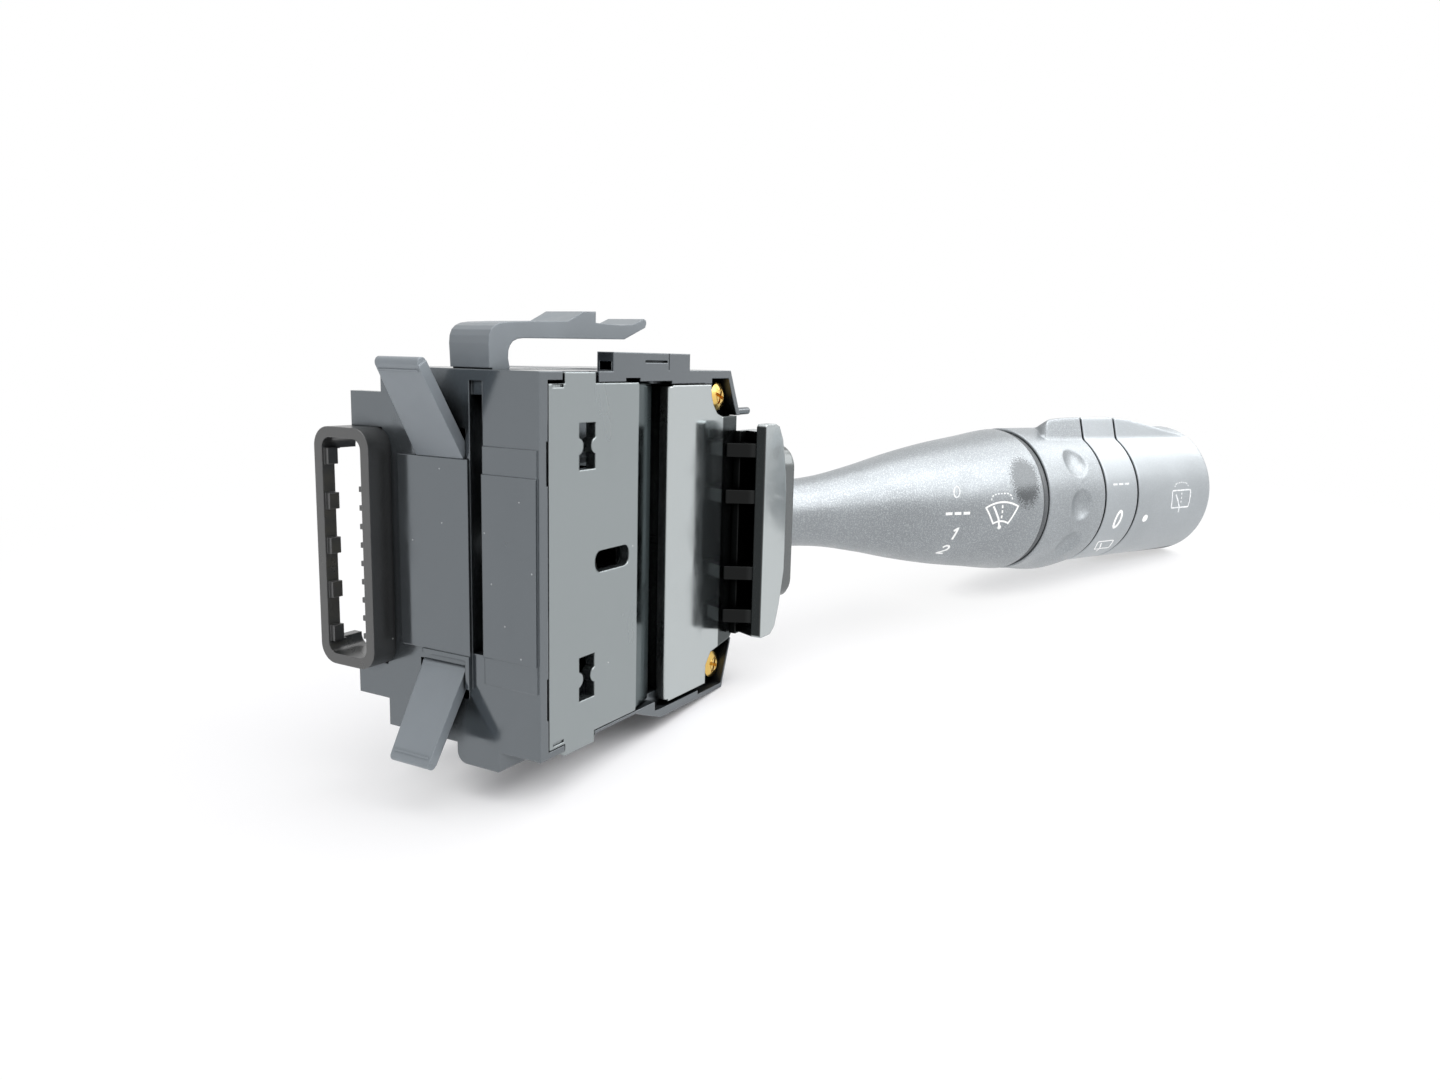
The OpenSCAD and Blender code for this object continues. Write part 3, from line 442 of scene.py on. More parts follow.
def dense(points, closed, step=0.25):
    """The same path with points no further apart than step, its own corners kept."""
    pts = np.asarray(points, float)
    pts = np.vstack([pts, pts[:1]]) if closed else pts
    run = length_along(pts)
    at = np.sort(np.concatenate([run, np.linspace(0, run[-1], int(run[-1] / step) + 2)]))
    at = at[np.concatenate([[True], np.diff(at) > 0.02])]
    at[-1] = run[-1]
    path = points_at(pts, run, at)
    return path[:-1] if closed else path


def band(path, width, closed):
    """Both edges of a stroke: each point moves half the width along the bisector of its corner."""
    ahead = np.roll(path, -1, 0) - path
    if not closed:
        ahead[-1] = ahead[-2]
    behind = np.roll(ahead, 1, 0)
    if not closed:
        behind[0] = ahead[0]

    def left(d):
        return np.stack([-d[:, 1], d[:, 0]], -1) / np.linalg.norm(d, axis=1, keepdims=True)

    bisector = left(behind) + left(ahead)
    bisector /= np.maximum((bisector * left(ahead)).sum(1, keepdims=True), 0.6)
    return path + bisector * width / 2, path - bisector * width / 2


def stroke_sheet(sizes, ink, place, stroke, radius):
    """Closed band of ink on a turned surface: the flat stroke is rolled round the axis at its place."""
    station, degrees = place
    points, width, closed = stroke
    path = dense(points, closed)
    left, right = band(path, width / MM, closed)
    middle = math.radians(degrees)
    around = radius(sizes, np.array([station * MM]), np.array([middle]))[0]
    corners = []
    for edge, lift in ((left, ink.rise), (right, ink.rise), (right, -ink.sink), (left, -ink.sink)):
        s = (station + edge[:, 0]) * MM
        theta = middle - edge[:, 1] * MM / around
        corners.append(on_stalk(sizes, s, radius(sizes, s, theta) + lift, theta))
    faces = grid_faces(len(path), 4, closed, True)
    if not closed:
        end = (len(path) - 1) * 4
        faces = np.vstack([faces, [[0, 1, 2, 3], [end + 3, end + 2, end + 1, end]]])
    return np.stack(corners, 1).reshape(-1, 3), faces


def print_piece(name, sizes, ink, marks, radius):
    """All strokes of one part in one mesh, with the material of each face: 0 is fresh ink, 1 is worn ink."""
    points, faces, worn = [], [], []
    total = 0
    for place, strokes, faded in marks:
        for stroke in strokes:
            p, f = stroke_sheet(sizes, ink, place, stroke, radius)
            points.append(p)
            faces.append(f + total)
            worn.append(np.full(len(f), faded))
            total += len(p)
    piece = mesh_piece(name, np.concatenate(points), np.concatenate(faces), smooth=False)
    index = np.concatenate(worn).astype(np.int32)
    if len(index) != len(piece.data.polygons):
        raise RuntimeError("a stroke lost a face in " + name)
    return piece, index


def slanted(points, share=0.2):
    """Leans a sign to the right by a share of its height."""
    p = np.array(points, float)
    p[:, 0] += p[:, 1] * share
    return p


def figure_two(width, height):
    """Figure two: a bow over the top, a slope to the lower left corner and a foot."""
    w, h = width / 2, height / 2
    bow = arc((0, h - w * 0.98), (w * 0.92, w * 0.98), 165, -35, 16)
    return np.vstack([bow, [[-w, -h]], [[w * 1.05, -h]]])


def figure_one(width, height):
    """Figure one: a short flag and a stem."""
    h = height / 2
    return np.array([[-width / 2, h * 0.55], [width / 5, h], [width / 5, -h]])


def row_of_dashes(width, length, gap, count):
    """Level marks in a row, in millimetres round the middle of the row."""
    at = (np.arange(count) - (count - 1) / 2) * (length + gap)
    return [(np.array([[x - length / 2, 0], [x + length / 2, 0]]), width, False) for x in at]


def drops(places, half, width):
    """Short upright strokes about the given places."""
    return [(np.array([[x, y + half], [x, y - half]]), width, False) for x, y in places]


def windscreen(line):
    """Windscreen with a wiper and drops, and a spray above it, in millimetres round its middle."""
    top = arc((0, -7.6), (9.98, 9.98), 118, 62)
    low = arc((0.1, -6.7), (4.5, 4.5), 60.5, 119.5, 12)
    wiper = np.array([[0.03, -3.9], [-0.75, -1.6], [-2.55, 1.5]])
    hub = oval(0.55, 0.55, 12) + [0.03, -3.75]
    spray = [[-3.1, 2.95], [-2.95, 3.7], [-2.2, 4.25], [-0.9, 4.4], [1.0, 4.4], [2.2, 4.25], [2.9, 3.6],
             [3.0, 2.85]]
    solid = [(np.vstack([top, low]), line, True), (wiper, line * 1.2, False), (hub, line * 1.2, True)]
    return (solid + drops(((0.1, 1.3), (0.12, 0.1), (0.1, -1.15)), 0.36, line),
            [(mark, line * 0.8, False) for mark in dashes(spray, 9)])


def rear_window(line, width, height, skew):
    """Rear window with a wiper, in millimetres round its middle."""
    w, h = width / 2, height / 2
    box = np.array([[-w + 0.5, h], [w - 0.5, h], [w - 0.12, h - 0.12], [w, h - 0.5], [w * 0.94, -h + 0.4],
                    [w * 0.9, -h + 0.1], [w * 0.84, -h], [-w * 0.84, -h], [-w * 0.9, -h + 0.1],
                    [-w * 0.94, -h + 0.4], [-w, h - 0.5], [-w + 0.12, h - 0.12]])
    box[:, 0] -= box[:, 1] * skew
    arm = np.array([[0, -h - 1.4], [-0.25, -h + 0.2], [-width * 0.3, h * 0.55]])
    return [(box, line, True), (arm, line * 1.1, False)]


# Finishes

def add_node(tree, kind, inputs=None, **settings):
    """A shader node of that kind: a plain input is set on its socket, an output is linked to it."""
    node = tree.nodes.new("ShaderNode" + kind)
    for key, value in settings.items():
        setattr(node, key, value)
    for key, value in (inputs or {}).items():
        if isinstance(value, bpy.types.NodeSocket):
            tree.links.new(value, node.inputs[key])
        else:
            node.inputs[key].default_value = value
    return node


def reading(tree, value, low, high, to_low=0.0, to_high=1.0):
    """Maps a value from one span to another and clamps it."""
    return add_node(tree, "MapRange", {0: value, 1: low, 2: high, 3: to_low, 4: to_high}).outputs[0]


def blended(tree, share, first, second):
    """Mixes two colours by a share."""
    return add_node(tree, "Mix", {0: share, 6: first, 7: second}, data_type="RGBA").outputs[2]


def blended_value(tree, share, first, second):
    """Value that goes from the first to the second as the share goes from 0 to 1."""
    return add_node(tree, "Mix", {"Factor": share, "A": first, "B": second}).outputs[0]


def worked_out(tree, how, a, b):
    """Result of one step of arithmetic on two values."""
    return add_node(tree, "Math", {0: a, 1: b}, operation=how).outputs[0]


def times(tree, a, b):
    """Product of two values."""
    return worked_out(tree, "MULTIPLY", a, b)


def shade(colour, share):
    """A colour made lighter or darker by a factor."""
    return tuple(min(1.0, c * share) for c in colour[:3]) + (1.0,)


def noise(tree, where, scale, detail=2.0, distortion=0.0, roughness=0.5):
    """Cloudy value from 0 to 1 with features of 1 / scale metres."""
    return add_node(tree, "TexNoise", {"Vector": where, "Scale": scale, "Detail": detail,
                                       "Distortion": distortion, "Roughness": roughness}).outputs[0]


def open_share(tree, reach):
    """1 on open ground, less where other surfaces stand within the reach."""
    return add_node(tree, "AmbientOcclusion", {"Distance": reach}, samples=8).outputs["AO"]


def measured(tree, how, vector, other=(0, 0, 0)):
    """Length of a vector, or another measure of two."""
    return add_node(tree, "VectorMath", {0: vector, 1: other}, operation=how).outputs["Value"]


def mapped(tree, where, kind="POINT", **change):
    """The place moved, turned and stretched."""
    return add_node(tree, "Mapping", {"Vector": where, **change}, vector_type=kind).outputs[0]


def blank_material(name):
    """A material without nodes, its tree and the place on the piece."""
    material = bpy.data.materials.new(name)
    material.use_nodes = True
    tree = material.node_tree
    tree.nodes.clear()
    return material, tree, add_node(tree, "TexCoord").outputs["Object"]


def end_tree(tree, surface, kind="Material"):
    """Ends a tree with its output and puts the nodes in columns by how far they stand before it."""
    add_node(tree, "Output" + kind, {"Surface": surface})
    depth = {node.name: 0 for node in tree.nodes}
    for _ in range(len(tree.nodes)):
        for wire in tree.links:
            depth[wire.from_node.name] = max(depth[wire.from_node.name], depth[wire.to_node.name] + 1)
    rows = {}
    for node in tree.nodes:
        column = depth[node.name]
        rows[column] = rows.get(column, 0) + 1
        node.location = (-230 * column, -260 * rows[column])


def coated(material, tint, gloss, bump, more=None):
    """Ends a material with its bump and its shader."""
    tree = material.node_tree
    normal = add_node(tree, "Bump", bump).outputs[0]
    shader = add_node(tree, "BsdfPrincipled",
                      {"Base Color": tint, "Roughness": gloss, "Normal": normal, **(more or {})})
    end_tree(tree, shader.outputs[0])


def edge_wear_highlight_mask(tree, where, soft):
    """Wear and painted highlight of the edges: 1 where the rounded normal turns away from the surface, broken
    up by noise.
    """
    flat = add_node(tree, "NewGeometry").outputs["Normal"]
    broken = reading(tree, noise(tree, where, WEAR_NOISE), 0.3, 0.65, 0.35, 1.0)
    return times(tree, reading(tree, measured(tree, "DOT_PRODUCT", flat, soft), 0.995, 0.8), broken)


def smear_mask(tree, where):
    """Long cloudy smears of fingers."""
    wipe = mapped(tree, where, Rotation=(0.3, 0.5, 0.2), Scale=(1, 1, 0.35))
    return reading(tree, noise(tree, wipe, SMEAR_NOISE, 4.0, 1.2), 0.5, 0.68)


def strip_mask(tree, where, axis, start, stop):
    """1 between two places along an axis, with soft ends."""
    along = add_node(tree, "SeparateXYZ", {0: where}).outputs[axis]
    return times(tree, reading(tree, along, start - STRIP_EDGE, start + STRIP_EDGE),
                 reading(tree, along, stop + STRIP_EDGE, stop - STRIP_EDGE))


def patch_mask(tree, where, middle, heading, half_length, half_width):
    """1 on an oval spot of the surface, with a broken edge."""
    spot = mapped(tree, where, "TEXTURE", Location=middle, Rotation=(0, 0, heading),
                  Scale=(half_length, half_length, half_width))
    broken = reading(tree, noise(tree, where, PATCH_NOISE, 3.0, 0.5, 0.75), 0.3, 0.7, -0.22, 0.22)
    return reading(tree, worked_out(tree, "ADD", measured(tree, "LENGTH", spot), broken), 1.04, 0.72)


def dust_mask(tree, where, share):
    """1 on a small dot in that share of the cells."""
    cells = add_node(tree, "TexVoronoi", {"Vector": where, "Scale": DUST_CELLS, "Randomness": 1.0})
    dot = reading(tree, cells.outputs["Distance"], 0.075, 0.03)
    number = add_node(tree, "SeparateColor", {0: cells.outputs["Color"]}).outputs[0]
    return times(tree, dot, reading(tree, number, 1 - share, 1.002 - share))


def moulded(name, colour, rough, grain=0.1, grain_size=0.35 * MM, speckle=0.0, mottle=0.08, edge=1.35,
            round_edge=0.3 * MM, smudge=0.0, dust=0.0, metal=0.0, ior=1.5, cast=(1, 1, 1, 1), depth=0.0,
            reach=GAP_REACH, strips=(), patch=None):
    """Moulded plastic: cloudy tint, fine grain, rounded edges made lighter by wear and painted highlight,
    finger smudges and sparse dust.

    Cast tints the mirrored light. Depth paints shade into narrow gaps and openings. Strips are spans painted
    darker as shade and made metal, so they mirror less.
    Patch is a polished spot: its middle, its direction along the surface, its half length and half width.
    """
    material, tree, where = blank_material(name)
    cloud = noise(tree, where, TINT_NOISE, 3.0)
    tint = blended(tree, reading(tree, cloud, 0.3, 0.7), shade(colour, 1 - mottle), shade(colour, 1 + mottle))
    fine = noise(tree, where, 1 / grain_size, 1.5, 0.0, 0.6)
    if speckle:
        flake = noise(tree, where, 2.4 / grain_size, 1.0)
        tint = blended(tree, times(tree, reading(tree, fine, 0.5, 0.68), speckle), tint, shade(colour, 1.7))
        tint = blended(tree, times(tree, reading(tree, flake, 0.6, 0.72), speckle), tint, shade(colour, 2.4))
    soft = add_node(tree, "Bevel", {"Radius": round_edge}, samples=6).outputs[0]
    # painted highlight and wear: the edges lighten towards the colour times edge
    tint = blended(tree, edge_wear_highlight_mask(tree, where, soft), tint, shade(colour, edge))
    gloss = reading(tree, noise(tree, where, GLOSS_NOISE, 3.0, 0.6), 0.3, 0.7, rough - 0.05, rough + 0.05)
    if smudge:
        smear = times(tree, smear_mask(tree, where), smudge)
        gloss = worked_out(tree, "ADD", gloss, smear)
        tint = blended(tree, smear, tint, shade(colour, 1.5))
    # painted shade: each strip darkens the colour to half and turns the surface to metal
    for axis, start, stop, share in strips:
        painted_shade_strip = times(tree, strip_mask(tree, where, axis, start, stop), share)
        tint = blended(tree, painted_shade_strip, tint, shade(colour, 0.5))
        metal = blended_value(tree, painted_shade_strip, metal, 1.0)
    if patch:
        polished = patch_mask(tree, where, *patch)
        tint = blended(tree, times(tree, polished, 0.8), tint, shade(colour, 0.3))
        gloss = worked_out(tree, "SUBTRACT", gloss, times(tree, polished, 0.2))
    if depth:
        # painted shade: where the AO finds other surfaces close, the colour goes towards 0.06 of itself,
        # rougher and metal
        painted_gap_shade = times(tree, reading(tree, open_share(tree, reach), 0.58, 0.34), depth)
        tint = blended(tree, painted_gap_shade, tint, shade(colour, 0.06))
        gloss = worked_out(tree, "ADD", gloss, times(tree, painted_gap_shade, 0.6))
        metal = blended_value(tree, painted_gap_shade, metal, 1.0)
    if dust:
        tint = blended(tree, times(tree, dust_mask(tree, where, dust), 0.75), tint, DUST)
    bump = {"Strength": grain, "Distance": 0.06 * MM, "Height": fine, "Normal": soft}
    coated(material, tint, gloss, bump, {"Metallic": metal, "IOR": ior, "Specular Tint": cast})


def ink_material(name, ink, under, worn):
    """White ink; where it is worn the plastic under it shows through in fine broken patches."""
    material, tree, where = blank_material(name)
    patches = noise(tree, where, INK_WEAR_NOISE, 3.0, 0.4, 0.7)
    share = reading(tree, patches, 0.62 - worn, 0.9 - worn * 0.6)
    colour = blended(tree, share, tuple(ink), shade(under, 1.6))
    gloss = reading(tree, noise(tree, where, INK_GLOSS_NOISE), 0.3, 0.7, 0.38, 0.55)
    coated(material, colour, gloss, {"Strength": 0.15, "Distance": 0.02 * MM, "Height": patches})


def finish_of(name):
    """The finished material of that name, made by the finishes operator."""
    if name not in bpy.data.materials:
        raise RuntimeError("run the finishes first: no material " + name)
    return bpy.data.materials[name]


def dress(node, material):
    """Gives a CAD solid its material and leaves its mesh alone."""
    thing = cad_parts[node]
    if not thing.material_slots:
        thing.data.materials.append(None)
    for slot in thing.material_slots:
        slot.material = finish_of(material)


def settle(piece, body, material, replaced=()):
    """Lets a finished piece ride on its body, names its finish and hides the solids it stands for."""
    if material:
        piece.data.materials.append(finish_of(material))
    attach(piece, body)
    if replaced:
        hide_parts(*replaced)


# Operators

class SWITCH_OT_finishes(bpy.types.Operator):
    """Makes the materials and gives each CAD solid its own"""

    bl_idname = "switch.finishes"
    bl_label = "Finishes"

    def execute(self, context):
        look = context.scene.switch_finish
        self.housing_finishes(look)
        self.lever_finishes(look, context.scene.switch_stalk)
        self.inner_finishes(look)
        given = {node: finish for finish, nodes in WEARERS.items() for node in nodes.split()}
        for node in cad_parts:
            dress(node, given[node])
        return {"FINISHED"}

    def housing_finishes(self, look):
        """Smooth dark plastics of the housing, and the greyer ones of its latch and tongues."""
        moulded("housing_satin", look.housing, 0.13, grain=0.025, smudge=0.12, dust=0.03, edge=3.0, ior=2.4,
                cast=(0.85, 0.93, 1.0, 1), depth=1.0)
        moulded("cover_smooth", look.cover, 0.12, grain=0.012, smudge=0.3, dust=0.06, edge=2.8,
                round_edge=0.45 * MM, ior=3.8, cast=(0.9, 0.98, 1.0, 1), depth=1.0, strips=SIDE_COVER_STRIPS)
        cool = {"cast": (0.93, 0.99, 1.0, 1), "depth": 1.0}
        moulded("cover_bright", look.cover, 0.1, grain=0.01, smudge=0.14, dust=0.05, edge=2.4,
                round_edge=0.45 * MM, ior=6.4, strips=END_COVER_STRIPS, **cool)
        moulded("carrier_dark", look.dark, 0.12, grain=0.02, dust=0.2, edge=3.0, round_edge=0.4 * MM, ior=6.6,
                strips=CARRIER_STRIPS, **cool)
        moulded("shield_satin", look.dark, 0.2, grain=0.03, smudge=0.1, dust=0.06, edge=3.0,
                round_edge=0.4 * MM, ior=2.3, **cool)
        moulded("frame_dark", look.dark, 0.3, grain=0.12, grain_size=0.5 * MM, dust=0.05, edge=3.2, ior=1.95,
                depth=0.6)
        sprung = {"grain": 0.08, "dust": 0.01, "edge": 1.5, "ior": 2.0, "cast": (0.86, 0.94, 1.0, 1),
                  "depth": 0.8, "reach": 6 * MM}
        moulded("latch_satin", look.latch, 0.36, smudge=0.14, **sprung)
        # painted light: the tongues wear the latch's plastic made 1.3 times lighter, as a lit copy
        moulded("tongue_satin", shade(look.latch, 1.3), 0.34, smudge=0.16, **sprung)

    def lever_finishes(self, look, sizes):
        """Grained plastics of the lever and its rings, and the white ink on them."""
        stalk = tuple(look.stalk)
        station, radius, degrees = PATCH_PLACE
        middle = tuple(on_stalk(sizes, station, radius, math.radians(degrees)))
        matt = {"edge": 1.2, "round_edge": 0.25 * MM, "depth": 0.9, "reach": 3 * MM}
        # painted light and shade: grip, rings, knob and collar are one plastic, given as lit and shaded
        # copies of the stalk colour at 0.84, 0.94, 1.2 and 0.3 times
        moulded("stalk_grain", shade(stalk, 0.84), 0.36, grain=0.7, grain_size=0.34 * MM, speckle=0.55,
                mottle=0.06, metal=0.75, patch=(middle, -sizes.angle) + PATCH_HALF, **matt)
        moulded("ring_grain", shade(stalk, 0.94), 0.4, grain=0.6, grain_size=0.3 * MM, speckle=0.5,
                mottle=0.05, metal=0.75, **matt)
        moulded("knob_grain", shade(stalk, 1.2), 0.4, grain=0.2, grain_size=0.24 * MM, speckle=0.18,
                mottle=0.05, metal=0.8, **matt)
        moulded("collar_plain", shade(stalk, 0.3), 0.46, grain=0.8, grain_size=0.3 * MM, speckle=0.6,
                metal=0.5, depth=0.9, reach=1.5 * MM)
        ink_material("ink_fresh", look.ink, stalk, 0.0)
        ink_material("ink_worn", look.ink, stalk, 0.3)

    def inner_finishes(self, look):
        """Plain materials of the screws and of the parts inside."""
        metal = {"metal": 1.0, "edge": 1.1, "round_edge": 0.08 * MM}
        moulded("core_plain", (0.03, 0.031, 0.033, 1), 0.5)
        moulded("natural_plastic", (0.62, 0.6, 0.54, 1), 0.4, edge=1.1)
        moulded("screw_brass", look.brass, 0.24, grain_size=0.2 * MM, mottle=0.15, metal=1.0, edge=1.2,
                round_edge=0.12 * MM)
        moulded("blade_tin", (0.66, 0.57, 0.38, 1), 0.3, grain=0.05, **metal)
        moulded("spring_steel", (0.56, 0.57, 0.58, 1), 0.28, grain=0.08, grain_size=0.15 * MM, **metal)
        moulded("contact_copper", (0.72, 0.42, 0.27, 1), 0.3, grain=0.05, **metal)
        moulded("board_laminate", (0.05, 0.12, 0.06, 1), 0.4, grain=0.2, grain_size=0.5 * MM, mottle=0.15)


class SWITCH_OT_grip(bpy.types.Operator):
    """Makes the flared grip and the recessed collar at its wide end"""

    bl_idname = "switch.grip"
    bl_label = "Grip"

    def execute(self, context):
        z = context.scene.switch_stalk
        self.grip(z)
        self.collar(z)
        return {"FINISHED"}

    def grip(self, z):
        """Outer skin from the hidden end, a rounded rim at the wide end, and the bore back to the start."""
        ease = 0.5 * MM
        s = np.concatenate([np.linspace(z.grip_start, z.flare_start, 6)[:-1],
                            np.linspace(z.flare_start, z.grip_end - ease, 120)])
        skin = grip_radius(z, s)
        draw, back = (steps[1:] for steps in quarter_round(ease, 6))
        stations = np.concatenate([s, z.grip_end - back,
                                   [z.grip_end, z.grip_end, z.grip_start, z.grip_start]])
        radii = np.concatenate([skin, skin[-1] - draw, [skin[-1] - ease - 0.2 * MM, z.core_radius,
                                                        z.core_radius, z.core_radius + 0.4 * MM]])
        settle(turned("stalk_grip_skin", z, stations, radii), "lever", "stalk_grain",
               ["stalk_grip"])

    def collar(self, z):
        """Band with a groove against the grip and a chamfered far edge."""
        r, bore = z.collar_radius, z.core_radius
        a, b = z.grip_end, z.collar_end
        groove = r - 0.9 * MM
        stations = [a, a, a + 0.35 * MM, a + 0.38 * MM, a + 0.5 * MM, b - 0.25 * MM, b - 0.07 * MM, b, b]
        radii = [bore, groove, groove, r - 0.12 * MM, r, r, r - 0.07 * MM, r - 0.25 * MM, bore]
        settle(turned("grip_collar_skin", z, stations, radii), "lever", "collar_plain",
               ["grip_collar"])


class SWITCH_OT_rings(bpy.types.Operator):
    """Makes the interval ring with its dimples, the fixed mark ring, the end knob and its cap"""

    bl_idname = "switch.rings"
    bl_label = "Rings and knob"

    def execute(self, context):
        z = context.scene.switch_stalk
        ease = 0.35 * MM
        self.place("interval_ring", z, z.interval_span, dimpled_skin, (0.4 * MM, ease), 66, "interval_dial",
                   "ring_grain")
        self.place("mark_ring", z, z.mark_span, ring_skin, (ease, ease), 32, "lever", "knob_grain")
        face = z.knob_span[1]
        seat = z.cap_radius + 0.12 * MM
        floor = face - 2.6 * MM
        hollow = [(face, seat + 0.1 * MM), (face - 0.1 * MM, seat), (floor, seat), (floor, z.core_radius)]
        self.place("end_knob", z, z.knob_span, ring_skin, (ease, 1.5 * MM), 84, "rear_wipe_dial",
                   "knob_grain", hollow)
        self.cap(z, face)
        return {"FINISHED"}

    def place(self, node, z, span, skin, ease, rows, body, finish, hollow=None):
        """Makes one ring in place of its CAD solid, with a plain bore or another hollow at its far end."""
        inner = (hollow or [(span[1], z.core_radius)]) + [(span[0], z.core_radius)]
        piece = ring(node + "_skin", z, span, skin, ease, inner, rows)
        settle(piece, body, finish, [node])

    def cap(self, z, face):
        """Flat back, short cylinder, rounded rim and an elliptic dome that closes in a pole."""
        f = np.linspace(0, math.pi / 2, 14)
        rim = z.cap_radius
        ease = 0.3 * MM
        back = face - 2.5 * MM
        stations = np.concatenate([[back, back, face - ease], face - ease * (1 - np.sin(f[::3])),
                                   face + z.cap_dome * np.sin(f[1:])])
        radii = np.concatenate([[0, rim, rim], rim - ease * (1 - np.cos(f[::3])),
                                (rim - ease) * np.cos(f[1:])])
        radii[-1] = 0
        settle(turned("end_cap_skin", z, stations, radii, closed=False), "rear_wipe_dial",
               "knob_grain", ["end_cap"])


class SWITCH_OT_marks(bpy.types.Operator):
    """Prints the speed marks on the grip, the ring marks and the rear wiper sign on the knob"""

    bl_idname = "switch.marks"
    bl_label = "Printed marks"

    def execute(self, context):
        z = context.scene.switch_stalk
        ink = context.scene.switch_print
        line, bold = ink.line, ink.bold
        screen, spray = windscreen(line)
        rear = rear_window(line * 0.9, 8.0, 4.7, 0.0)
        rear += drops(((0.1, 1.4), (0.1, 0.3), (0.1, -0.8)), 0.28, line * 0.8)
        mist = dashes([[-3.0, 3.3], [-2.2, 4.2], [0, 4.45], [2.2, 4.2], [3.0, 3.3]], 9)

        # each mark: its station in millimetres and degrees from the top, its strokes, and 1 where it is worn
        grip_marks = [
            ((61.4, 71.5), [(slanted(oval(1.6, 2.5)), bold * 0.6, True)], 1),
            ((61.45, 91.7), row_of_dashes(0.65 * MM, 1.8, 0.62, 3), 0),
            ((61.7, 112.4), [(slanted(figure_one(1.3, 3.0)), bold, False)], 0),
            ((61.2, 132.2), [(slanted(figure_two(1.9, 2.9)), bold, False)], 0),
            ((73.95, 92.0), screen, 0),
            ((73.95, 92.0), spray, 1),
        ]
        ring_marks = [
            ((116.25, 75.2), row_of_dashes(0.5 * MM, 1.7, 0.6, 3), 1),
            ((116.35, 106.1), [(slanted(oval(2.1, 4.5), 0.12), 0.75 * MM, True)], 0),
            ((116.8, 134.0), rear_window(line * 0.9, 6.2, 3.3, 0.4), 0),
        ]
        knob_marks = [
            ((127.65, 107.5), [(oval(1.0, 1.0, 24), 1.0 * MM, True)], 0),
            ((141.4, 92.0), rear + [(mark, line * 0.7, False) for mark in mist], 1),
        ]
        for name, marks, skin, body in (
                ("print_grip", grip_marks, lambda q, s, t: grip_radius(q, s) + 0 * t, "lever"),
                ("print_mark_ring", ring_marks, ring_skin, "lever"),
                ("print_knob", knob_marks, ring_skin, "rear_wipe_dial")):
            piece, index = print_piece(name, z, ink, marks, skin)
            for finish in ("ink_fresh", "ink_worn"):
                piece.data.materials.append(finish_of(finish))
            piece.data.polygons.foreach_set("material_index", index)
            settle(piece, body, None)
        return {"FINISHED"}


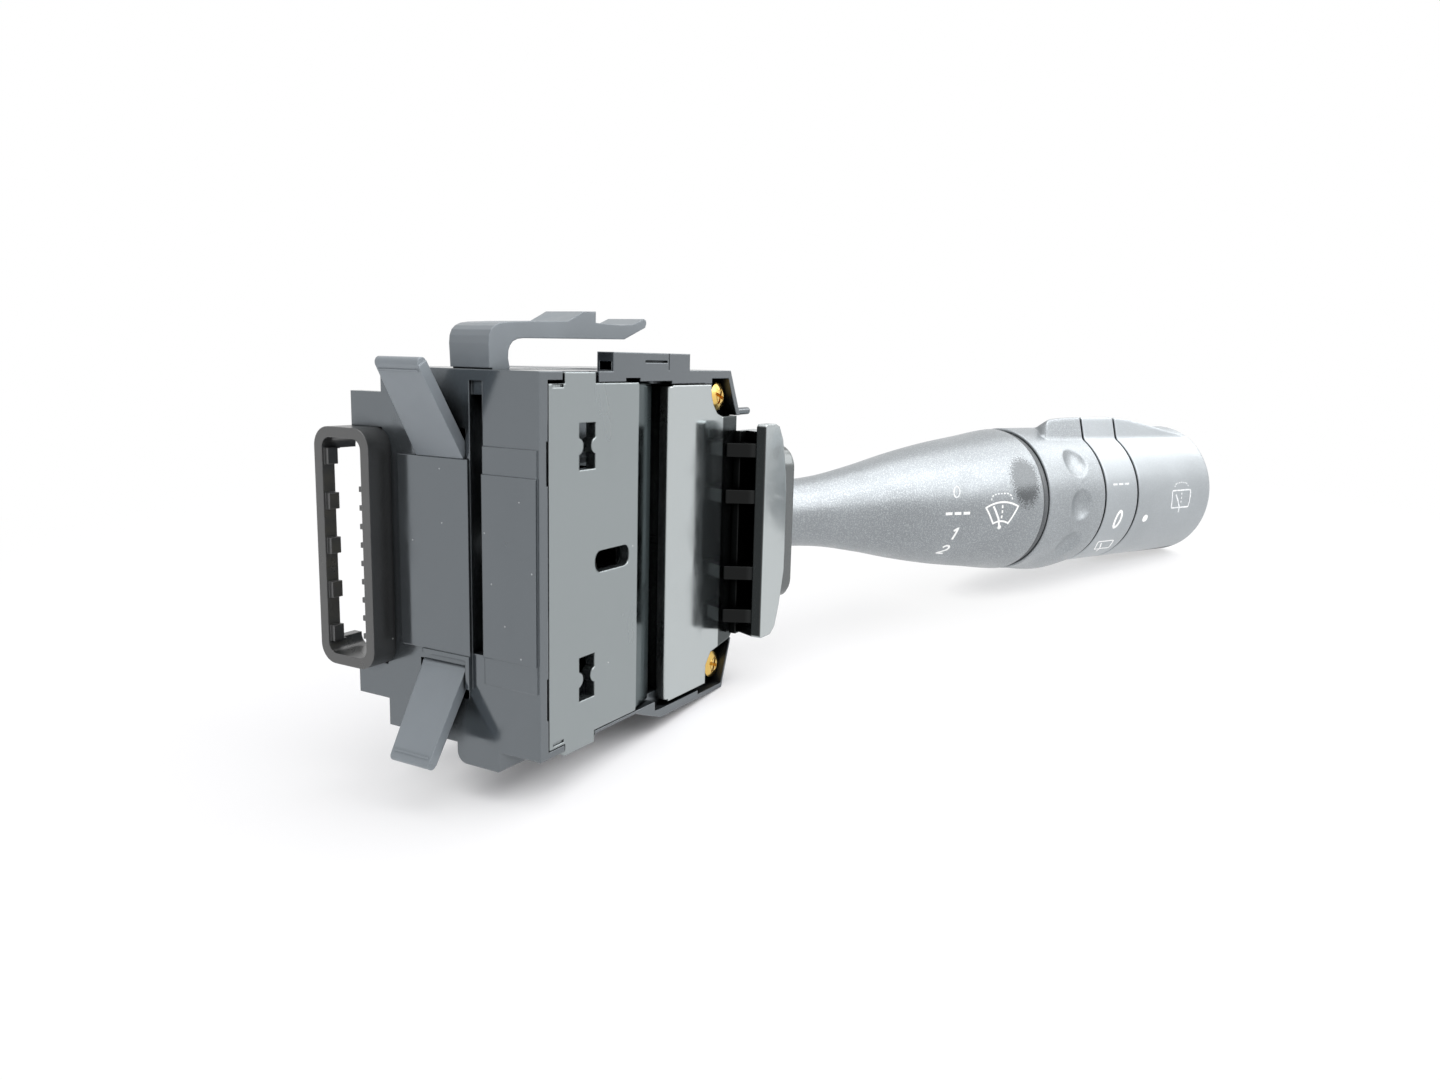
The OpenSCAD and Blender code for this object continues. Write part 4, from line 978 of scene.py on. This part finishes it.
class SWITCH_OT_stage(bpy.types.Operator):
    """Sets up the pale floor, the soft lamps, the white surroundings and the camera"""

    bl_idname = "switch.stage"
    bl_label = "Stage"

    def execute(self, context):
        stage = context.scene.switch_stage
        context.scene.view_settings.view_transform = "Standard"
        self.floor(stage)
        self.surroundings(context, stage)
        for name, setting, place, target, width in LAMPS:
            self.lamp(name, getattr(stage, setting), place, target, width)
        self.camera(context, stage)
        return {"FINISHED"}

    def floor(self, stage):
        """Plane z = z0 + slope (x - x0), on which the switch leans with its front edge and the knob."""
        reach = np.array([-FLOOR_HALF, FLOOR_HALF])
        x, y = np.meshgrid(reach, reach, indexing="ij")
        x0, _, z0 = stage.floor_point
        points = np.stack([x, y, z0 + (x - x0) * stage.floor_slope], -1)
        floor = mesh_piece("floor", points, grid_faces(2, 2, False, False), smooth=False)
        floor.data.materials.append(self.floor_material())

    def floor_material(self):
        """White plastic that takes shadows, lifted towards pure white for the camera away from the switch."""
        material, tree, where = blank_material("floor_white")
        white = blended(tree, noise(tree, where, FLOOR_NOISE), *FLOOR_WHITES)
        plain = add_node(tree, "BsdfPrincipled",
                         {"Base Color": white, "Roughness": 0.6, "Specular IOR Level": 0.2})
        glow = add_node(tree, "Emission", {"Color": WHITE, "Strength": 1.0})
        away = measured(tree, "LENGTH", mapped(tree, where, Location=tuple(-c for c in HOUSING_MIDDLE)))
        bright = worked_out(tree, "ADD", reading(tree, away, *NEAR_WHITE), reading(tree, away, *FAR_WHITE))
        # painted contact shade: the white glow is cut back where the AO finds the switch close, so the lit
        # floor shows darker there
        clear = reading(tree, open_share(tree, GAP_REACH), 0.35, 0.9)
        bright = times(tree, bright, blended_value(tree, clear, reading(tree, away, *CORNER_WHITE), 1.0))
        rays = add_node(tree, "LightPath").outputs
        share = worked_out(tree, "MAXIMUM", times(tree, rays["Is Camera Ray"], bright), rays["Is Glossy Ray"])
        mixed = add_node(tree, "MixShader", {0: share, 1: plain.outputs[0], 2: glow.outputs[0]})
        end_tree(tree, mixed.outputs[0])
        return material

    def surroundings(self, context, stage):
        """White world for the camera and for reflections, and a dimmer one that lights the surfaces."""
        world = bpy.data.worlds.new("surroundings")
        context.scene.world = world
        world.use_nodes = True
        tree = world.node_tree
        tree.nodes.clear()
        rays = add_node(tree, "LightPath").outputs
        seen = worked_out(tree, "MAXIMUM", rays["Is Camera Ray"], rays["Is Glossy Ray"])
        seen = worked_out(tree, "MAXIMUM", seen, rays["Is Transmission Ray"])
        light = add_node(tree, "Background", {"Color": SKY, "Strength": stage.ambient})
        white = add_node(tree, "Background", {"Color": WHITE, "Strength": 1.0})
        mixed = add_node(tree, "MixShader", {0: seen, 1: light.outputs[0], 2: white.outputs[0]})
        end_tree(tree, mixed.outputs[0], "World")

    def lamp(self, name, power, place, target, width):
        """Square soft lamp at a place, turned towards a target."""
        data = bpy.data.lights.new(name, "AREA")
        data.shape = "SQUARE"
        data.size = width
        data.energy = power
        lamp = bpy.data.objects.new(name, data)
        lamp.location = place
        lamp.rotation_euler = (Vector(target) - Vector(place)).to_track_quat("-Z", "Y").to_euler()
        bpy.context.scene.collection.objects.link(lamp)

    def camera(self, context, stage):
        """Camera that looks along f = (cos yaw cos pitch, sin yaw cos pitch, -sin pitch), rolled about f."""
        cy, sy = math.cos(stage.yaw), math.sin(stage.yaw)
        cp, sp = math.cos(stage.pitch), math.sin(stage.pitch)
        ahead = Vector((cy * cp, sy * cp, -sp))
        right = Vector((sy, -cy, 0))
        down = ahead.cross(right)
        cr, sr = math.cos(stage.roll), math.sin(stage.roll)
        across, below = cr * right + sr * down, cr * down - sr * right
        data = bpy.data.cameras.new("camera")
        data.sensor_width = SENSOR_WIDTH
        data.lens = stage.lens
        data.clip_start = 5 * MM
        camera = bpy.data.objects.new("camera", data)
        turn = Matrix((across, -below, -ahead)).transposed().to_4x4()
        camera.matrix_world = Matrix.Translation(Vector(stage.camera_place)) @ turn
        context.scene.collection.objects.link(camera)
        context.scene.camera = camera


class SWITCH_PT_panel(bpy.types.Panel):
    """Lists the pieces of the switch and the sizes and colours they use"""

    bl_idname = "SWITCH_PT_panel"
    bl_label = "Wiper Stalk Switch"
    bl_space_type = "VIEW_3D"
    bl_region_type = "UI"
    bl_category = "Switch"

    def draw(self, context):
        column = self.layout.column()
        for operator in PIECES:
            column.operator(operator.bl_idname)
        for name in GROUPS:
            group = getattr(context.scene, name)
            box = self.layout.box()
            box.label(text=name.removeprefix("switch_").capitalize())
            for key in group.__annotations__:
                box.prop(group, key)


PIECES = (SWITCH_OT_finishes, SWITCH_OT_grip, SWITCH_OT_rings, SWITCH_OT_marks, SWITCH_OT_stage)
GROUPS = {"switch_stalk": StalkSizes, "switch_print": PrintSizes, "switch_finish": FinishColours,
          "switch_stage": StageSettings}
CLASSES = tuple(GROUPS.values()) + PIECES + (SWITCH_PT_panel,)


def register():
    for item in CLASSES:
        bpy.utils.register_class(item)
    for name, group in GROUPS.items():
        setattr(bpy.types.Scene, name, PointerProperty(type=group))


def unregister():
    for name in GROUPS:
        delattr(bpy.types.Scene, name)
    for item in reversed(CLASSES):
        bpy.utils.unregister_class(item)


def main():
    register()
    bpy.ops.switch.finishes()
    bpy.ops.switch.grip()
    bpy.ops.switch.rings()
    bpy.ops.switch.marks()
    bpy.ops.switch.stage()


if __name__ == "__main__":
    main()
